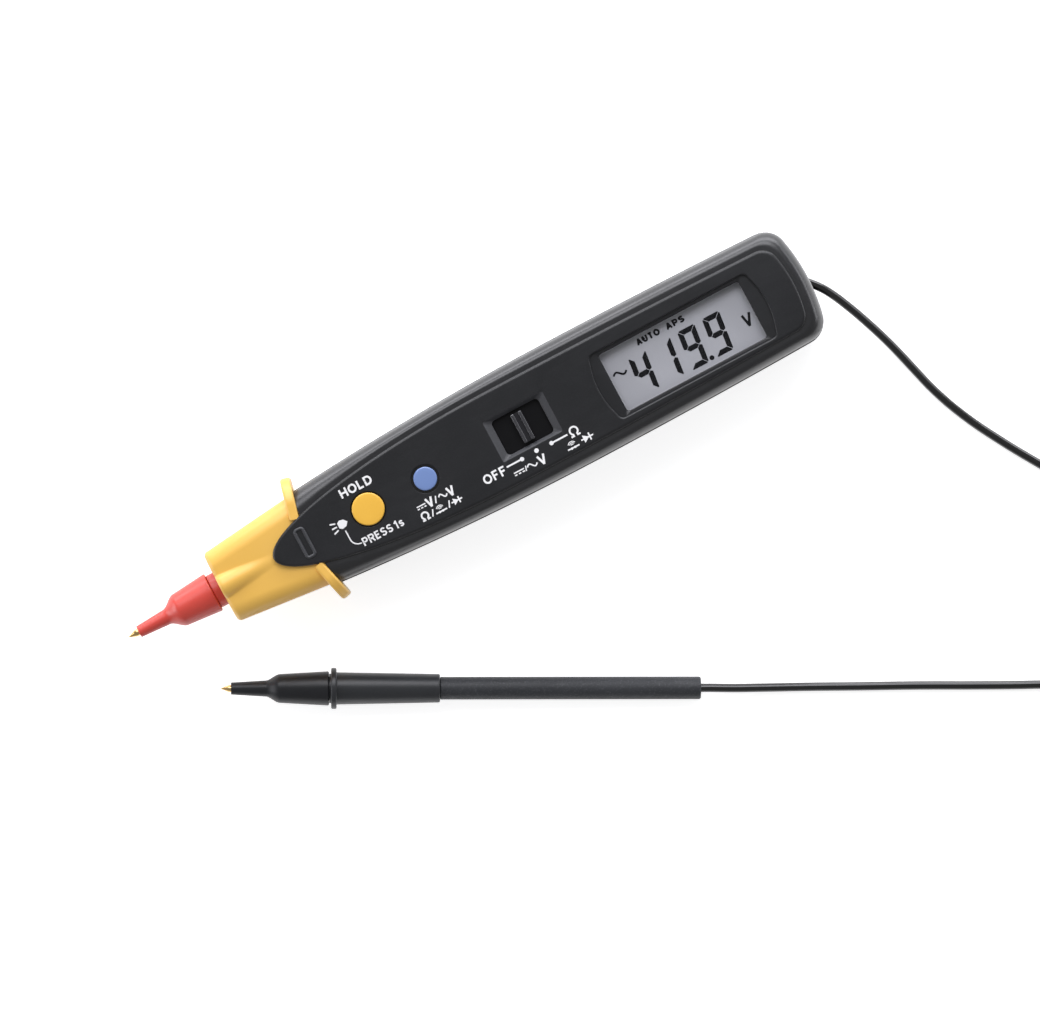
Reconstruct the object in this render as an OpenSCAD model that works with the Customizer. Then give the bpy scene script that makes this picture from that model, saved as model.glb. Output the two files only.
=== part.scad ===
// Pen multimeter with a test probe on a lead, lying face up on its back.
// X runs along the pen from the test pin to the tail, Y across it and Z up from the back.
// The origin is on the flat back, midway between the pin's point and the tail.
// Lengths are in millimetres and angles in degrees.

/* [Case] */
// Length of the black case, from the nose joint to the tail
case_l = 132.5; // [126:0.5:145]
// Greatest width of the case
case_w = 30.4; // [29:0.2:36]
// Width of the case at the nose joint
joint_w = 24.2; // [23:0.1:26]
// Width of the case beside the corners of the tail
tail_w = 28.8; // [28:0.1:32]
// Depth of the case, from its flat back to the top of the panel
case_d = 26; // [25:0.5:30]
// Height of the parting line between the mouldings, as a share of the depth
parting_share = 0.5; // [0.46:0.01:0.54]
// Wall of the case mouldings
wall_t = 1.8; // [1.5:0.1:2]
// Radius of the tail's corners, seen from above
tail_r = 5.5; // [4.5:0.5:7]
// How far the tail's end bulges between its corners
tail_bulge = 1.2; // [0.6:0.1:2]
// Distance from the tail to the widest place
belly_from_tail = 63; // [50:1:75]
// Height of the rounded shoulder round the panel
shoulder_h = 4.6; // [3.6:0.2:5.6]
// Height of the rounding along the back's edges
back_round_h = 8; // [6:0.5:9]
// Width of the rounding along the back's edges
back_round_w = 5; // [4:0.5:6]
// Length of the flat back, from the tail
flat_back_l = 99; // [94:1:105]
// How far the back has risen at the nose's face
nose_lift = 4.8; // [3.5:0.1:6]
// How far the rear moulding stands proud at the parting line
parting_step = 0.25; // [0.1:0.05:0.4]

/* [Panel] */
// Greatest width of the raised panel
panel_w = 23; // [22:0.2:25]
// Width of the panel beside its tail corners
panel_tail_w = 21.2; // [20.6:0.2:23]
// Distance from the panel's tail end to its widest place
panel_wide_from_end = 77; // [70:1:84]
// Shoulder left beyond the panel at the tail
panel_margin = 4; // [3.5:0.1:5]
// Radius of the panel's tail corners
panel_r = 4.3; // [3:0.1:5.5]
// How far the panel's tail end bulges
panel_bulge = 0.8; // [0.3:0.1:1.2]
// Length of the pointed tongue over the nose
tongue_l = 10.2; // [8:0.2:12]
// Height of the panel above the valley round it
panel_rise = 0.7; // [0.4:0.1:1]
// Width of the valley round the panel
valley_w = 0.9; // [0.5:0.1:1.2]
// Bevel along the panel's edge
panel_bevel = 0.45; // [0.2:0.05:0.6]
// Thickness of the case under the panel's face
panel_t = 2; // [1.8:0.1:2.2]

/* [Nose] */
// Length of the yellow nose, from its face to the case
nose_l = 24.6; // [23:0.2:27]
// Width of the nose at its face
nose_face_w = 18; // [17:0.2:20]
// Width of the nose where it meets the case
nose_root_w = 23.2; // [22:0.2:24]
// Drop from the top of the panel to the nose's top at its face
nose_face_drop = 3.6; // [3:0.1:4]
// Drop from the valley of the case to the nose's top at the joint
nose_step = 0.3; // [0.1:0.05:0.5]
// Radius of the nose's long edges
nose_r = 4.2; // [3:0.1:5]
// Rounding round the nose's face
nose_face_r = 1; // [0.5:0.1:1.4]
// Width across the tips of the guard wings
guard_w = 31.6; // [30:0.2:36]
// Thickness of a guard wing
guard_t = 2.4; // [2:0.1:3]
// Angle that the wings lean back towards the tail
guard_angle = 13.5; // [8:0.5:16]
// Height of a guard wing's lower edge
guard_low_z = 4.4; // [3:0.2:6]
// Radius of the lamp's hump
hump_r = 3.1; // [2.8:0.1:3.3]
// Distance from the top of the panel down to the lamp's axis
lamp_drop = 4.65; // [4.5:0.05:4.8]
// Diameter of the lamp
lamp_d = 3; // [2.6:0.1:3.1]

/* [Test pin and cap] */
// Distance from the top of the panel down to the pin's axis
pin_drop = 12.5; // [12:0.1:13]
// Diameter of the pin
pin_d = 1.8; // [1.6:0.1:2]
// Length from the nose's face to the pin's point
tip_reach = 24.9; // [24:0.1:30]
// Length of bare metal beyond the cap
bare_l = 2.7; // [2:0.1:3.4]
// Diameter of the red collar on the nose's face
collar_d = 8.4; // [8:0.1:9]
// Thickness of the collar
collar_t = 2.1; // [1.5:0.1:2.5]
// Diameter of the cap's body
cap_d = 9.8; // [9.4:0.1:10.4]
// Length of the cap's body
cap_body_l = 8.8; // [8:0.1:10]
// Length of the cap's flare
cap_flare_l = 4; // [3:0.1:5]
// Diameter of the cap's nozzle at its root
nozzle_root_d = 3.8; // [3.4:0.1:4.2]
// Diameter of the cap's nozzle at its end
nozzle_end_d = 2.9; // [2.8:0.1:3.2]
// Diameter of the spigot that a cap is pushed onto
spigot_d = 5.6; // [5:0.1:6]

/* [Buttons] */
// Diameter of the hold button
hold_d = 7.75; // [7:0.05:8]
// Place of the hold button, as a share of the way from the nose screws to the display
hold_share = 0.1145; // [0.11:0.0005:0.12]
// Black gap round the hold button
hold_gap = 0.35; // [0.25:0.05:0.45]
// Diameter of the select button
select_d = 5.6; // [5:0.1:6.2]
// Place of the select button, as a share of the same way
select_share = 0.335; // [0.32:0.001:0.35]
// Black gap round the select button
select_gap = 0.65; // [0.4:0.05:0.8]
// Travel of a button
button_travel = 0.7; // [0.5:0.05:0.8]
// Height of the hold button above the panel
hold_proud = 0.45; // [0.3:0.05:0.6]
// Height of the select button above the panel
select_proud = 0.2; // [0.1:0.05:0.4]

/* [Slide switch] */
// Place of the switch's middle position, as a share of the way from the nose screws to the display
switch_share = 0.7115; // [0.7:0.0005:0.72]
// Travel from the middle to either end position
switch_travel = 4; // [3.5:0.1:4]
// Length of the recess at the panel's face
recess_l = 15.8; // [15.5:0.1:16.5]
// Width of the recess at the panel's face
recess_w = 10.6; // [10.2:0.1:11.5]
// Length of the opening in the recess
slot_l = 12.4; // [12:0.1:13]
// Width of the opening in the recess
slot_w = 9; // [8.6:0.1:9.4]
// Depth of the recess
recess_depth = 0.9; // [0.6:0.1:1.1]
// Width of the knob's rib
rib_w = 2.9; // [2:0.1:3.2]
// Length of the knob's rib
rib_l = 7.6; // [7:0.1:8]
// Width of a groove along the rib
rib_groove = 0.35; // [0.2:0.05:0.45]

/* [Display] */
// Distance from the tail to the display's middle
display_from_tail = 34.1; // [33.5:0.1:34.5]
// How far the display sits below the panel's centre line
display_drop = 1; // [0.8:0.05:1.6]
// Length of the display's recess, at its bulged ends
bezel_l = 44.6; // [44:0.1:45.4]
// Width of the display's recess
bezel_w = 16.7; // [16:0.1:17.2]
// Bulge of the recess's ends
bezel_bulge = 1.2; // [0.6:0.1:1.6]
// Radius of the recess's corners
bezel_r = 1.5; // [1:0.1:2]
// Depth of the display's recess
bezel_depth = 0.8; // [0.5:0.1:0.9]
// Length of the visible display
view_l = 37.3; // [36:0.1:38]
// Width of the visible display
view_w = 14.9; // [14:0.1:15.2]
// Thickness of the window pane
window_t = 1.1; // [0.8:0.1:1.2]
// Thickness of the LCD glass
lcd_t = 2.1; // [1.8:0.1:2.2]

/* [Inside] */
// Height of the board, as a share of the room between the cells and the display
board_share = 0.58; // [0.5:0.01:0.65]
// Thickness of the board
board_t = 1.6; // [1.2:0.1:1.6]
// Gap between the board's edge and the case wall
board_gap = 1.2; // [0.8:0.1:1.6]
// Diameter of a button cell
cell_d = 11.6; // [11.2:0.1:11.8]
// Thickness of a button cell
cell_t = 5.4; // [5:0.1:5.4]
// Distance from the tail to the cells
cell_from_tail = 25; // [24.6:0.1:26]
// Length of the battery cover
cover_l = 23; // [22.6:0.2:24]
// Width of the battery cover
cover_w = 17; // [16:0.2:18]
// Thickness of the battery cover
cover_t = 1.4; // [1.2:0.1:1.6]
// Diameter of a screw's thread
screw_d = 2; // [1.8:0.1:2.2]
// Diameter of a screw's head
screw_head_d = 3.8; // [3.5:0.1:4]
// Length of a case screw under its head
screw_l = 9; // [8:0.5:10]
// Diameter of the buzzer
buzzer_d = 12; // [10:0.5:13]

/* [Lead and probe] */
// Diameter of the lead
cord_d = 2.1; // [2:0.05:2.2]
// Height of the lead's exit in the tail
exit_z = 6.6; // [6.4:0.1:7]
// Depth of the well round the lead's exit
well_depth = 6.8; // [6.5:0.1:7]
// Width of the well round the lead's exit
well_w = 11; // [10.6:0.2:11.4]
// Height of the well round the lead's exit
well_h = 6.6; // [6.4:0.1:6.8]
// Length of the probe, from its point to the end of its barrel
probe_l = 114.2; // [110:0.1:120]
// Length from the probe's point to its guard ring
probe_ring_from_tip = 26.2; // [26:0.1:28]
// Diameter of the probe's guard ring
probe_ring_d = 9.8; // [9:0.1:11]
// Width of the guard ring
probe_ring_t = 1.3; // [1:0.1:1.6]
// Length of the probe's handle, behind its guard ring
handle_l = 24.6; // [23:0.1:27]
// Diameter of the handle at its guard ring
handle_d = 7.7; // [7.2:0.1:8.4]
// Diameter of the handle at its rear end
handle_rear_d = 6.8; // [6.6:0.1:7.2]
// Diameter of the probe's barrel
barrel_d = 5.4; // [5.2:0.1:5.8]
// Diameter of the probe cap's body
probe_cap_d = 8.2; // [7.8:0.1:8.8]

/* [Hidden] */
$fn = 48;

// Running values
overrun = 0.6;
fit_gap = 0.05;
play = 0.15;
deep = case_d;

// Places along the pen
pen_l = case_l + nose_l + tip_reach;
tail_x = pen_l / 2;
joint_x = tail_x - case_l;
face_x = joint_x - nose_l;
point_x = face_x - tip_reach;
belly_x = tail_x - belly_from_tail;
flat_x = tail_x - flat_back_l;
display_x = tail_x - display_from_tail;
cell_x = tail_x - cell_from_tail;
screw_inset_x = 7.1;
key_row_x = joint_x + screw_inset_x;
key_row_l = display_x - bezel_l / 2 - key_row_x;
hold_x = key_row_x + hold_share * key_row_l;
select_x = key_row_x + select_share * key_row_l;
switch_x = key_row_x + switch_share * key_row_l;

// Heights
deck_z = case_d - panel_rise;
ceiling_z = case_d - panel_t;
tongue_z = ceiling_z + 0.15 * panel_t;
parting_z = parting_share * case_d;
nose_face_top = case_d - nose_face_drop;
lamp_z = case_d - lamp_drop;
pin_z = case_d - pin_drop;
cover_seat = cover_t + play;
cell_z = cover_seat + 2 * play;
cells_top_z = cell_z + 2 * cell_t + 2 * fit_gap;
window_top_z = ceiling_z - fit_gap;
window_z = window_top_z - window_t;
lcd_top_z = window_z - play;
lcd_z = lcd_top_z - lcd_t;
board_z = cells_top_z + board_share * (lcd_z - cells_top_z - board_t);
board_top_z = board_z + board_t;

// Steps that the curved outlines are drawn in
side_n = 20;
corner_n = 6;
end_n = 3;
round_n = 5;

// Point on a circle
function polar(r, a) = [r * cos(a), r * sin(a)];

// Half width of the case at x
case_half = function (x) case_w / 2 - (x < belly_x
    ? (case_w - joint_w) / 2 * pow((belly_x - x) / (belly_x - joint_x), 2)
    : (case_w - tail_w) / 2 * pow((x - belly_x) / (tail_x - tail_r - belly_x), 2));

// Half width of the raised panel at x: a half ellipse towards the nose, a slight taper towards the tail
panel_tail_x = tail_x - panel_margin;
panel_nose_x = joint_x - tongue_l;
panel_wide_x = panel_tail_x - panel_wide_from_end;
panel_half = function (x) x < panel_wide_x
    ? panel_w / 2 * sqrt(max(0, 1 - pow((panel_wide_x - x) / (panel_wide_x - panel_nose_x), 2)))
    : panel_w / 2 - (panel_w - panel_tail_w) / 2
        * pow((x - panel_wide_x) / (panel_tail_x - panel_r - panel_wide_x), 2);

// Half an outline from the side at x_start, round the tail's corner, to the middle of the bulged end
function half_outline(half, inset, x_start, x_end, r, bulge) =
    let (w_end = half(x_end - r) - inset,
         turn = atan(2 * bulge / (w_end - r)),
         cx = x_end - bulge - r * cos(turn),
         cy = half(cx) - inset - r,
         y_end = cy + r * sin(turn))
    concat(
        [for (i = [0:side_n]) let (x = x_start + (cx - x_start) * i / side_n) [x, half(x) - inset]],
        [for (i = [1:corner_n]) [cx, cy] + polar(r, 90 - (90 - turn) * i / corner_n)],
        [for (i = [1:end_n]) let (y = y_end * (1 - i / end_n)) [x_end - bulge * pow(y / y_end, 2), y]]);

// An open outline round both sides, from +Y to -Y by way of the tail
function both_sides(half) = concat(half, [for (i = [len(half) - 2:-1:0]) [half[i][0], -half[i][1]]]);

function case_outline(inset) = both_sides(
    half_outline(case_half, inset, joint_x, tail_x - inset, tail_r - inset, tail_bulge));

function deck_outline(inset) = both_sides(
    half_outline(panel_half, inset - valley_w, joint_x, panel_tail_x + valley_w - inset,
        panel_r + valley_w - inset, panel_bulge));

back_inset = back_round_w;
function back_outline(inset) = both_sides(
    half_outline(case_half, back_inset + inset, joint_x, tail_x - back_inset - inset,
        tail_r - inset, tail_bulge));

// Height of the back at x before the flat is cut: level at the tail, rising towards the nose
back_trim = 0.3;
function back_z(x) = -back_trim + (x > flat_x ? 0 : nose_lift * pow((flat_x - x) / (flat_x - face_x), 2));

function blend(a, b, f) = a * (1 - f) + b * f;

// Triangles between two runs of n points that start at a and b
function strip(a, b, n) = [for (i = [0:n - 2]) each
    [[a + i, b + i + 1, b + i], [a + i, a + i + 1, b + i + 1]]];

// Triangles that close an open outline of n points across its two sides
function ladder(a, n) = [for (i = [0:(n - 3) / 2]) each concat(
    [[a + i, a + i + 1, a + n - 1 - i]],
    i + 1 < n - 2 - i ? [[a + i + 1, a + n - 2 - i, a + n - 1 - i]] : [])];

function flipped(faces) = [for (f = faces) [for (i = [len(f) - 1:-1:0]) f[i]]];

// Half a case: an outer and an inner skin of open rings, joined at the parting line and at the nose
module half_shell(outer, inner, face_up) {
    k = len(outer);
    m = len(outer[0]);
    second = k * m;
    faces = concat(
        [for (j = [0:k - 2]) each strip(j * m, (j + 1) * m, m)],
        ladder((k - 1) * m, m),
        flipped([for (j = [0:k - 2]) each strip(second + j * m, second + (j + 1) * m, m)]),
        flipped(ladder(second + (k - 1) * m, m)),
        strip(second, 0, m),
        [for (j = [0:k - 2]) let (o = j * m, n = second + j * m) each [
            [o, o + m, n + m], [o, n + m, n],
            [o + 2 * m - 1, o + m - 1, n + m - 1], [o + 2 * m - 1, n + m - 1, n + 2 * m - 1]]],
        let (o = (k - 1) * m, n = second + (k - 1) * m)
            [[o, o + m - 1, n + m - 1], [o, n + m - 1, n]]);
    polyhedron(points = [for (r = concat(outer, inner)) each r],
        faces = face_up ? faces : flipped(faces), convexity = 10);
}

// Angles of the quarter round that a shell's edge follows
round_steps = [for (i = [0:round_n]) 90 * i / round_n];

function level_ring(a, b, f, z) = [for (i = [0:len(a) - 1])
    let (p = blend(a[i], b[i], f)) [p[0], p[1], z]];

function back_ring(a, b, f, lift) = [for (i = [0:len(a) - 1])
    let (p = blend(a[i], b[i], f)) [p[0], p[1], back_z(p[0]) + lift]];

// A closed solid through closed rings of equal numbers of points, anticlockwise seen from the last ring
module skin(rings) {
    k = len(rings);
    m = len(rings[0]);
    polyhedron(points = [for (r = rings) each r], faces = concat(
        [for (j = [0:k - 2], i = [0:m - 1])
            let (a = j * m + i, b = j * m + (i + 1) % m) each [[a, b + m, b], [a, a + m, b + m]]],
        [[for (i = [0:m - 1]) i]],
        [[for (i = [0:m - 1]) k * m - 1 - i]]), convexity = 10);
}

// Closed outline of a rectangle with round corners, anticlockwise
function round_rect(l, w, r) = [for (q = [0:3], i = [0:corner_n])
    let (a = 90 * q + 90 * i / corner_n, sx = (q == 0 || q == 3) ? 1 : -1, sy = q < 2 ? 1 : -1)
    [sx * (l / 2 - r), sy * (w / 2 - r)] + polar(r, a)];

// Closed outline of a rectangle whose short ends bulge, anticlockwise
function bulged_rect(l, w, r, bulge) =
    let (cx = l / 2 - bulge - r, cy = w / 2 - r,
         quarter = concat(
            [for (i = [0:end_n - 1]) let (y = cy * i / end_n) [l / 2 - bulge * pow(y / cy, 2), y]],
            [for (i = [0:corner_n]) [cx, cy] + polar(r, 90 * i / corner_n)]),
         half = concat(quarter, [for (i = [len(quarter) - 1:-1:0]) [-quarter[i][0], quarter[i][1]]]))
    concat(half, [for (i = [len(half) - 2:-1:1]) [half[i][0], -half[i][1]]]);

function unit(v) = v / norm(v);

// Rings of a tube round a path, each square to it; the end rings face the directions given
function tube_rings(path, r, sides, first, last) = [for (i = [0:len(path) - 1])
    let (ahead = i == 0 ? first : i == len(path) - 1 ? last : unit(path[i + 1] - path[i - 1]),
         across = unit(cross(ahead, abs(ahead[2]) > 0.9 ? [0, 1, 0] : [0, 0, 1])), up = cross(across, ahead))
    [for (k = [0:sides - 1]) let (a = 360 * k / sides) path[i] + r * (up * cos(a) + across * sin(a))]];

module tube(path, r, sides, first, last) { skin(tube_rings(path, r, sides, first, last)); }

function at_z(outline, z) = [for (p = outline) [p[0], p[1], z]];

// Closed outline of the raised panel, anticlockwise from its nose
function panel_outline(inset) =
    let (a = panel_wide_x - panel_nose_x - inset, b = panel_w / 2 - inset,
         nose = [for (i = [0:side_n]) let (t = 90 * i / side_n)
            [panel_wide_x - a * cos(t), -b * sin(t)]],
         tail = half_outline(panel_half, inset, panel_wide_x, panel_tail_x - inset,
            panel_r - inset, panel_bulge),
         lower = concat(nose, [for (i = [1:len(tail) - 1]) [tail[i][0], -tail[i][1]]]))
    concat(lower, [for (i = [len(lower) - 2:-1:1]) [lower[i][0], -lower[i][1]]]);

// Screws: one pair near the nose joint, one pair near the tail
nose_screw_y = 4.8;
tail_screw_in = 9.8;
tail_screw_y = 7.4;
screw_places = [[joint_x + screw_inset_x, nose_screw_y], [joint_x + screw_inset_x, -nose_screw_y],
    [tail_x - tail_screw_in, tail_screw_y], [tail_x - tail_screw_in, -tail_screw_y]];
post_wall = 1.2;
head_bore_d = screw_head_d + 2 * play;
post_r = head_bore_d / 2 + post_wall;
boss_r = screw_d / 2 + post_wall;
head_h = 1.5;
seat_t = 2;
head_top_z = parting_z - seat_t;

// Battery bay
bay_r = cell_d / 2 + play;
bay_wall = 1.2;
cover_x = cell_x - 2;
bay_top_z = cell_z + 2 * cell_t - play;
floor_t = 1.6;
bay_floor_z = cover_seat + floor_t;
cover_screw_x = cover_x - cover_l / 2 + screw_head_d / 2 + play + post_wall;
contact_w = 3;
contact_t = 0.3;
side_contact_x = cover_x + cover_l / 2 - play - 2 * contact_t;
cover_corner_r = 2;

// Lead exit
well_floor_x = tail_x - well_depth;
well_wall = 1.4;
grommet_flange_t = 1.3;
grommet_flange_r = 2.9;
grommet_neck_r = 1.7;
grommet_root_r = 2.5;
grommet_end_r = 1.55;
grommet_l = 1.9;
cord_r = cord_d / 2;
grommet_end_x = well_floor_x + fit_gap + grommet_l;
grommet_start_x = well_floor_x - well_wall - fit_gap - grommet_flange_t;

// Board supports
support_r = 1.6;
support_places = [for (x = [select_x + hold_d, display_x - view_l / 2 - hold_d], s = [-1, 1])
    [x, s * (case_half(x) - wall_t - board_gap - support_r - play)]];

slot_y = well_w / 2 - well_h / 2;

// A slot-shaped bar along X with round ends across Y
module slot_bar(x0, l, r, y) {
    translate([x0, 0, exit_z]) {
        for (s = [-1, 1]) translate([0, s * y, 0]) rotate([0, 90, 0]) cylinder(r = r, h = l);
        translate([0, -y, -r]) cube([l, 2 * y, 2 * r]);
    }
}

// Guard wings: places and rounding
wing_x = joint_x - 1.5;
wing_in_y = 6;
wing_top_z = case_d - 0.1 * panel_t;
wing_edge = 0.5;
wing_r = 6.5;
wing_low_r = 4;
wing_root_y = nose_root_w / 2 - nose_r / 2;

// Slanting cuts that let the guard wings lean back over the front of the case
module wing_relief() {
    for (s = [0, 1]) mirror([0, s, 0]) translate([wing_x, wing_in_y, 0]) rotate([0, 0, -guard_angle])
        translate([-guard_w, valley_w, -deep / 2]) cube([guard_w + guard_t / 2 + play / 2, guard_w, 2 * deep]);
}

module at_screws() { for (p = screw_places) translate([p[0], p[1], 0]) children(); }

module front_shell() {
    outer_side = case_outline(parting_step);
    outer_deck = deck_outline(0);
    inner_side = case_outline(wall_t + parting_step);
    inner_deck = deck_outline(wall_t / 3);
    spring_z = deck_z - shoulder_h;
    outer = concat([level_ring(outer_side, outer_deck, 0, parting_z)],
        [for (a = round_steps)
            level_ring(outer_side, outer_deck, 1 - cos(a), spring_z + shoulder_h * sin(a))]);
    inner = concat([level_ring(inner_side, inner_deck, 0, parting_z)],
        [for (a = round_steps)
            level_ring(inner_side, inner_deck, 1 - cos(a), spring_z + (ceiling_z - spring_z) * sin(a))]);
    half_shell(outer, inner, true);
}

module panel_plate() {
    skin([at_z(panel_outline(0), tongue_z), at_z(panel_outline(0), case_d - panel_bevel),
        at_z(panel_outline(panel_bevel), case_d)]);
}

// Tactile frame near the panel's point
tab_l = 7.8;
tab_w = 2.8;
tab_r = 0.9;
tab_rise = 0.35;
tab_rim = 0.65;
tab_x = joint_x - 1.9;
module tactile_frame() {
    translate([tab_x, 0, case_d - fit_gap]) difference() {
        linear_extrude(tab_rise + fit_gap) polygon(round_rect(tab_w, tab_l, tab_r));
        translate([0, 0, fit_gap]) linear_extrude(tab_rise + overrun)
            polygon(round_rect(tab_w - 2 * tab_rim, tab_l - 2 * tab_rim, tab_r - tab_rim / 2));
    }
}

knob_plate_t = 1.2;
knob_lap = 0.8;
knob_plate_l = slot_l + 2 * switch_travel + 2 * knob_lap;
knob_plate_w = slot_w + 4 * knob_lap;
knob_top_z = ceiling_z - play;
rail_t = 1;
rail_h = 1.6;
hold_flange_r = hold_d / 2 + 1.2 * knob_lap;
select_flange_r = select_d / 2 + select_gap + knob_lap;

module front_case() {
    color([0.17, 0.175, 0.19]) difference() {
        union() {
            front_shell();
            panel_plate();
            tactile_frame();
            at_screws() translate([0, 0, parting_z]) cylinder(r = boss_r, h = ceiling_z - parting_z + fit_gap);
            // Rails that guide the slide knob
            for (s = [-1, 1])
                translate([switch_x - knob_plate_l / 2,
                    s * (knob_plate_w / 2 + play + rail_t / 2) - rail_t / 2, ceiling_z - rail_h])
                    cube([knob_plate_l, rail_t, rail_h + fit_gap]);
        }
        at_screws() translate([0, 0, parting_z - overrun])
            cylinder(r = screw_d / 2, h = screw_l + overrun);
        wing_relief();
        translate([hold_x, 0, tongue_z - 2 * overrun])
            cylinder(r = hold_d / 2 + hold_gap, h = panel_t + 3 * overrun);
        translate([select_x, 0, tongue_z - 2 * overrun])
            cylinder(r = select_d / 2 + select_gap, h = panel_t + 3 * overrun);
        // Bevelled recess and opening of the slide switch
        translate([switch_x, 0, 0]) {
            grow = overrun / recess_depth;
            skin([at_z(round_rect(slot_l + play, slot_w + play, play), case_d - recess_depth),
                at_z(round_rect(recess_l, recess_w, play), case_d),
                at_z(round_rect(recess_l + grow * (recess_l - slot_l), recess_w + grow * (recess_w - slot_w),
                    play), case_d + overrun)]);
            translate([0, 0, ceiling_z - overrun]) linear_extrude(panel_t)
                polygon(round_rect(slot_l, slot_w, 4 * play));
        }
        // Recess and window opening of the display
        translate([display_x, -display_drop, 0]) {
            translate([0, 0, case_d - bezel_depth]) linear_extrude(bezel_depth + overrun)
                polygon(bulged_rect(bezel_l, bezel_w, bezel_r, bezel_bulge));
            translate([0, 0, ceiling_z - overrun]) linear_extrude(panel_t)
                polygon(round_rect(view_l, view_w, bezel_r / 2));
        }
    }
}

module rear_shell() {
    outer_side = case_outline(0);
    outer_back = back_outline(0);
    inner_side = case_outline(wall_t);
    inner_back = back_outline(wall_t / 3);
    outer = concat([level_ring(outer_side, outer_back, 0, parting_z)],
        [for (a = round_steps) back_ring(outer_side, outer_back, 1 - cos(a), back_round_h * (1 - sin(a)))]);
    floor_z = wall_t + back_trim;
    inner = concat([level_ring(inner_side, inner_back, 0, parting_z)],
        [for (a = round_steps)
            back_ring(inner_side, inner_back, 1 - cos(a), floor_z + (back_round_h - floor_z) * (1 - sin(a)))]);
    half_shell(outer, inner, false);
}

module rear_case() {
    color([0.14, 0.145, 0.16]) difference() {
        union() {
            rear_shell();
            // Screw posts
            for (p = screw_places) translate([p[0], p[1], back_z(p[0]) + wall_t])
                cylinder(r = post_r, h = parting_z - back_z(p[0]) - wall_t - fit_gap);
            // Floor pad and wall of the battery bay
            translate([cover_x - cover_l / 2 - post_wall, -cover_w / 2 - post_wall, wall_t / 2])
                cube([cover_l + 2 * post_wall, cover_w + 2 * post_wall, bay_floor_z - wall_t / 2]);
            translate([cell_x, 0, wall_t]) cylinder(r = bay_r + bay_wall, h = bay_top_z - wall_t);
            translate([cover_screw_x, 0, wall_t]) cylinder(r = boss_r + play, h = screw_l - wall_t);
            // Wall round the lead's well
            slot_bar(well_floor_x - well_wall, well_depth + well_wall - wall_t - tail_bulge,
                well_h / 2 + well_wall, slot_y);
            // Posts that carry the board
            for (p = support_places) translate([p[0], p[1], wall_t / 2])
                cylinder(r = support_r, h = board_z - wall_t / 2 - fit_gap);
        }
        wing_relief();
        // The flat that the pen lies on
        translate([point_x, -case_w, -deep]) cube([pen_l + case_w, 2 * case_w, deep]);
        // Screw holes with deep head bores
        at_screws() {
            translate([0, 0, -overrun]) cylinder(r = head_bore_d / 2, h = head_top_z + overrun);
            cylinder(r = screw_d / 2 + play, h = parting_z + overrun);
        }
        // Seat of the battery cover, and the bay above it
        translate([cover_x, 0, -overrun]) linear_extrude(cover_seat + overrun)
            polygon(round_rect(cover_l, cover_w, cover_corner_r));
        translate([cell_x, 0, 0]) cylinder(r = bay_r, h = bay_top_z + overrun);
        translate([cell_x, -contact_w / 2 - play, 0])
            cube([side_contact_x + 2 * contact_t - cell_x, contact_w + 2 * play, bay_top_z + overrun]);
        translate([cover_screw_x, 0, 0]) cylinder(r = screw_d / 2, h = screw_l - wall_t / 2);
        // Well and hole of the lead
        slot_bar(well_floor_x, well_depth + overrun, well_h / 2, slot_y);
        translate([well_floor_x - well_wall - overrun, 0, exit_z]) rotate([0, 90, 0])
            cylinder(r = grommet_neck_r + fit_gap, h = well_wall + 2 * overrun);
    }
}

// Section of the nose at x: height of its top and underside, and half its width
nose_top = function (x) deck_z - nose_step
    - (deck_z - nose_step - nose_face_top) * pow((joint_x - x) / nose_l, 2);
nose_half = function (x) nose_root_w / 2 - (nose_root_w - nose_face_w) / 2 * (joint_x - x) / nose_l;

function nose_ring(x, inset) =
    let (w = nose_half(x) - inset, top = nose_top(x) - inset,
         low = max(back_z(x), 0) + nose_step + inset)
    [for (p = round_rect(2 * w, top - low, nose_r)) [x, p[0], p[1] + (top + low) / 2]];

nose_face_stations = [0, 0.3, 0.6, 1];
nose_n = 7;
tenon_l = 3.4;
tenon_side = joint_w / 2 - wall_t - 2 * play;
tenon_low = back_z(joint_x) + back_trim + wall_t + 4 * play;
tenon_top = ceiling_z - play;
tenon_r = 5;

// Outline of a guard wing in the plane across the pen, drawn from its inner end
function wing_outline(inset) =
    let (out = (guard_w / 2 - wing_in_y) / cos(guard_angle) + wing_in_y - inset, top = wing_top_z - inset,
         low = guard_low_z + inset, r = wing_r - inset, lr = wing_low_r - inset)
    concat([[wing_in_y + inset, top]],
        [for (i = [0:corner_n]) [out - r, top - r] + polar(r, 90 - 90 * i / corner_n)],
        [for (i = [0:corner_n]) [out - lr, low + lr] + polar(lr, -90 * i / corner_n)],
        [[wing_root_y + inset, low]]);

module wing() {
    rings = [for (s = [[guard_t / 2, wing_edge], [guard_t / 2 - wing_edge, 0],
        [wing_edge - guard_t / 2, 0], [-guard_t / 2, wing_edge]])
        [for (p = wing_outline(s[1])) [s[0], p[0] - wing_in_y, p[1]]]];
    translate([wing_x, wing_in_y, 0]) rotate([0, 0, -guard_angle]) skin(rings);
}

holder_d = 6.6;
holder_in = 16;
lamp_bore_r = lamp_d / 2 + 0.8 * play;

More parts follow.
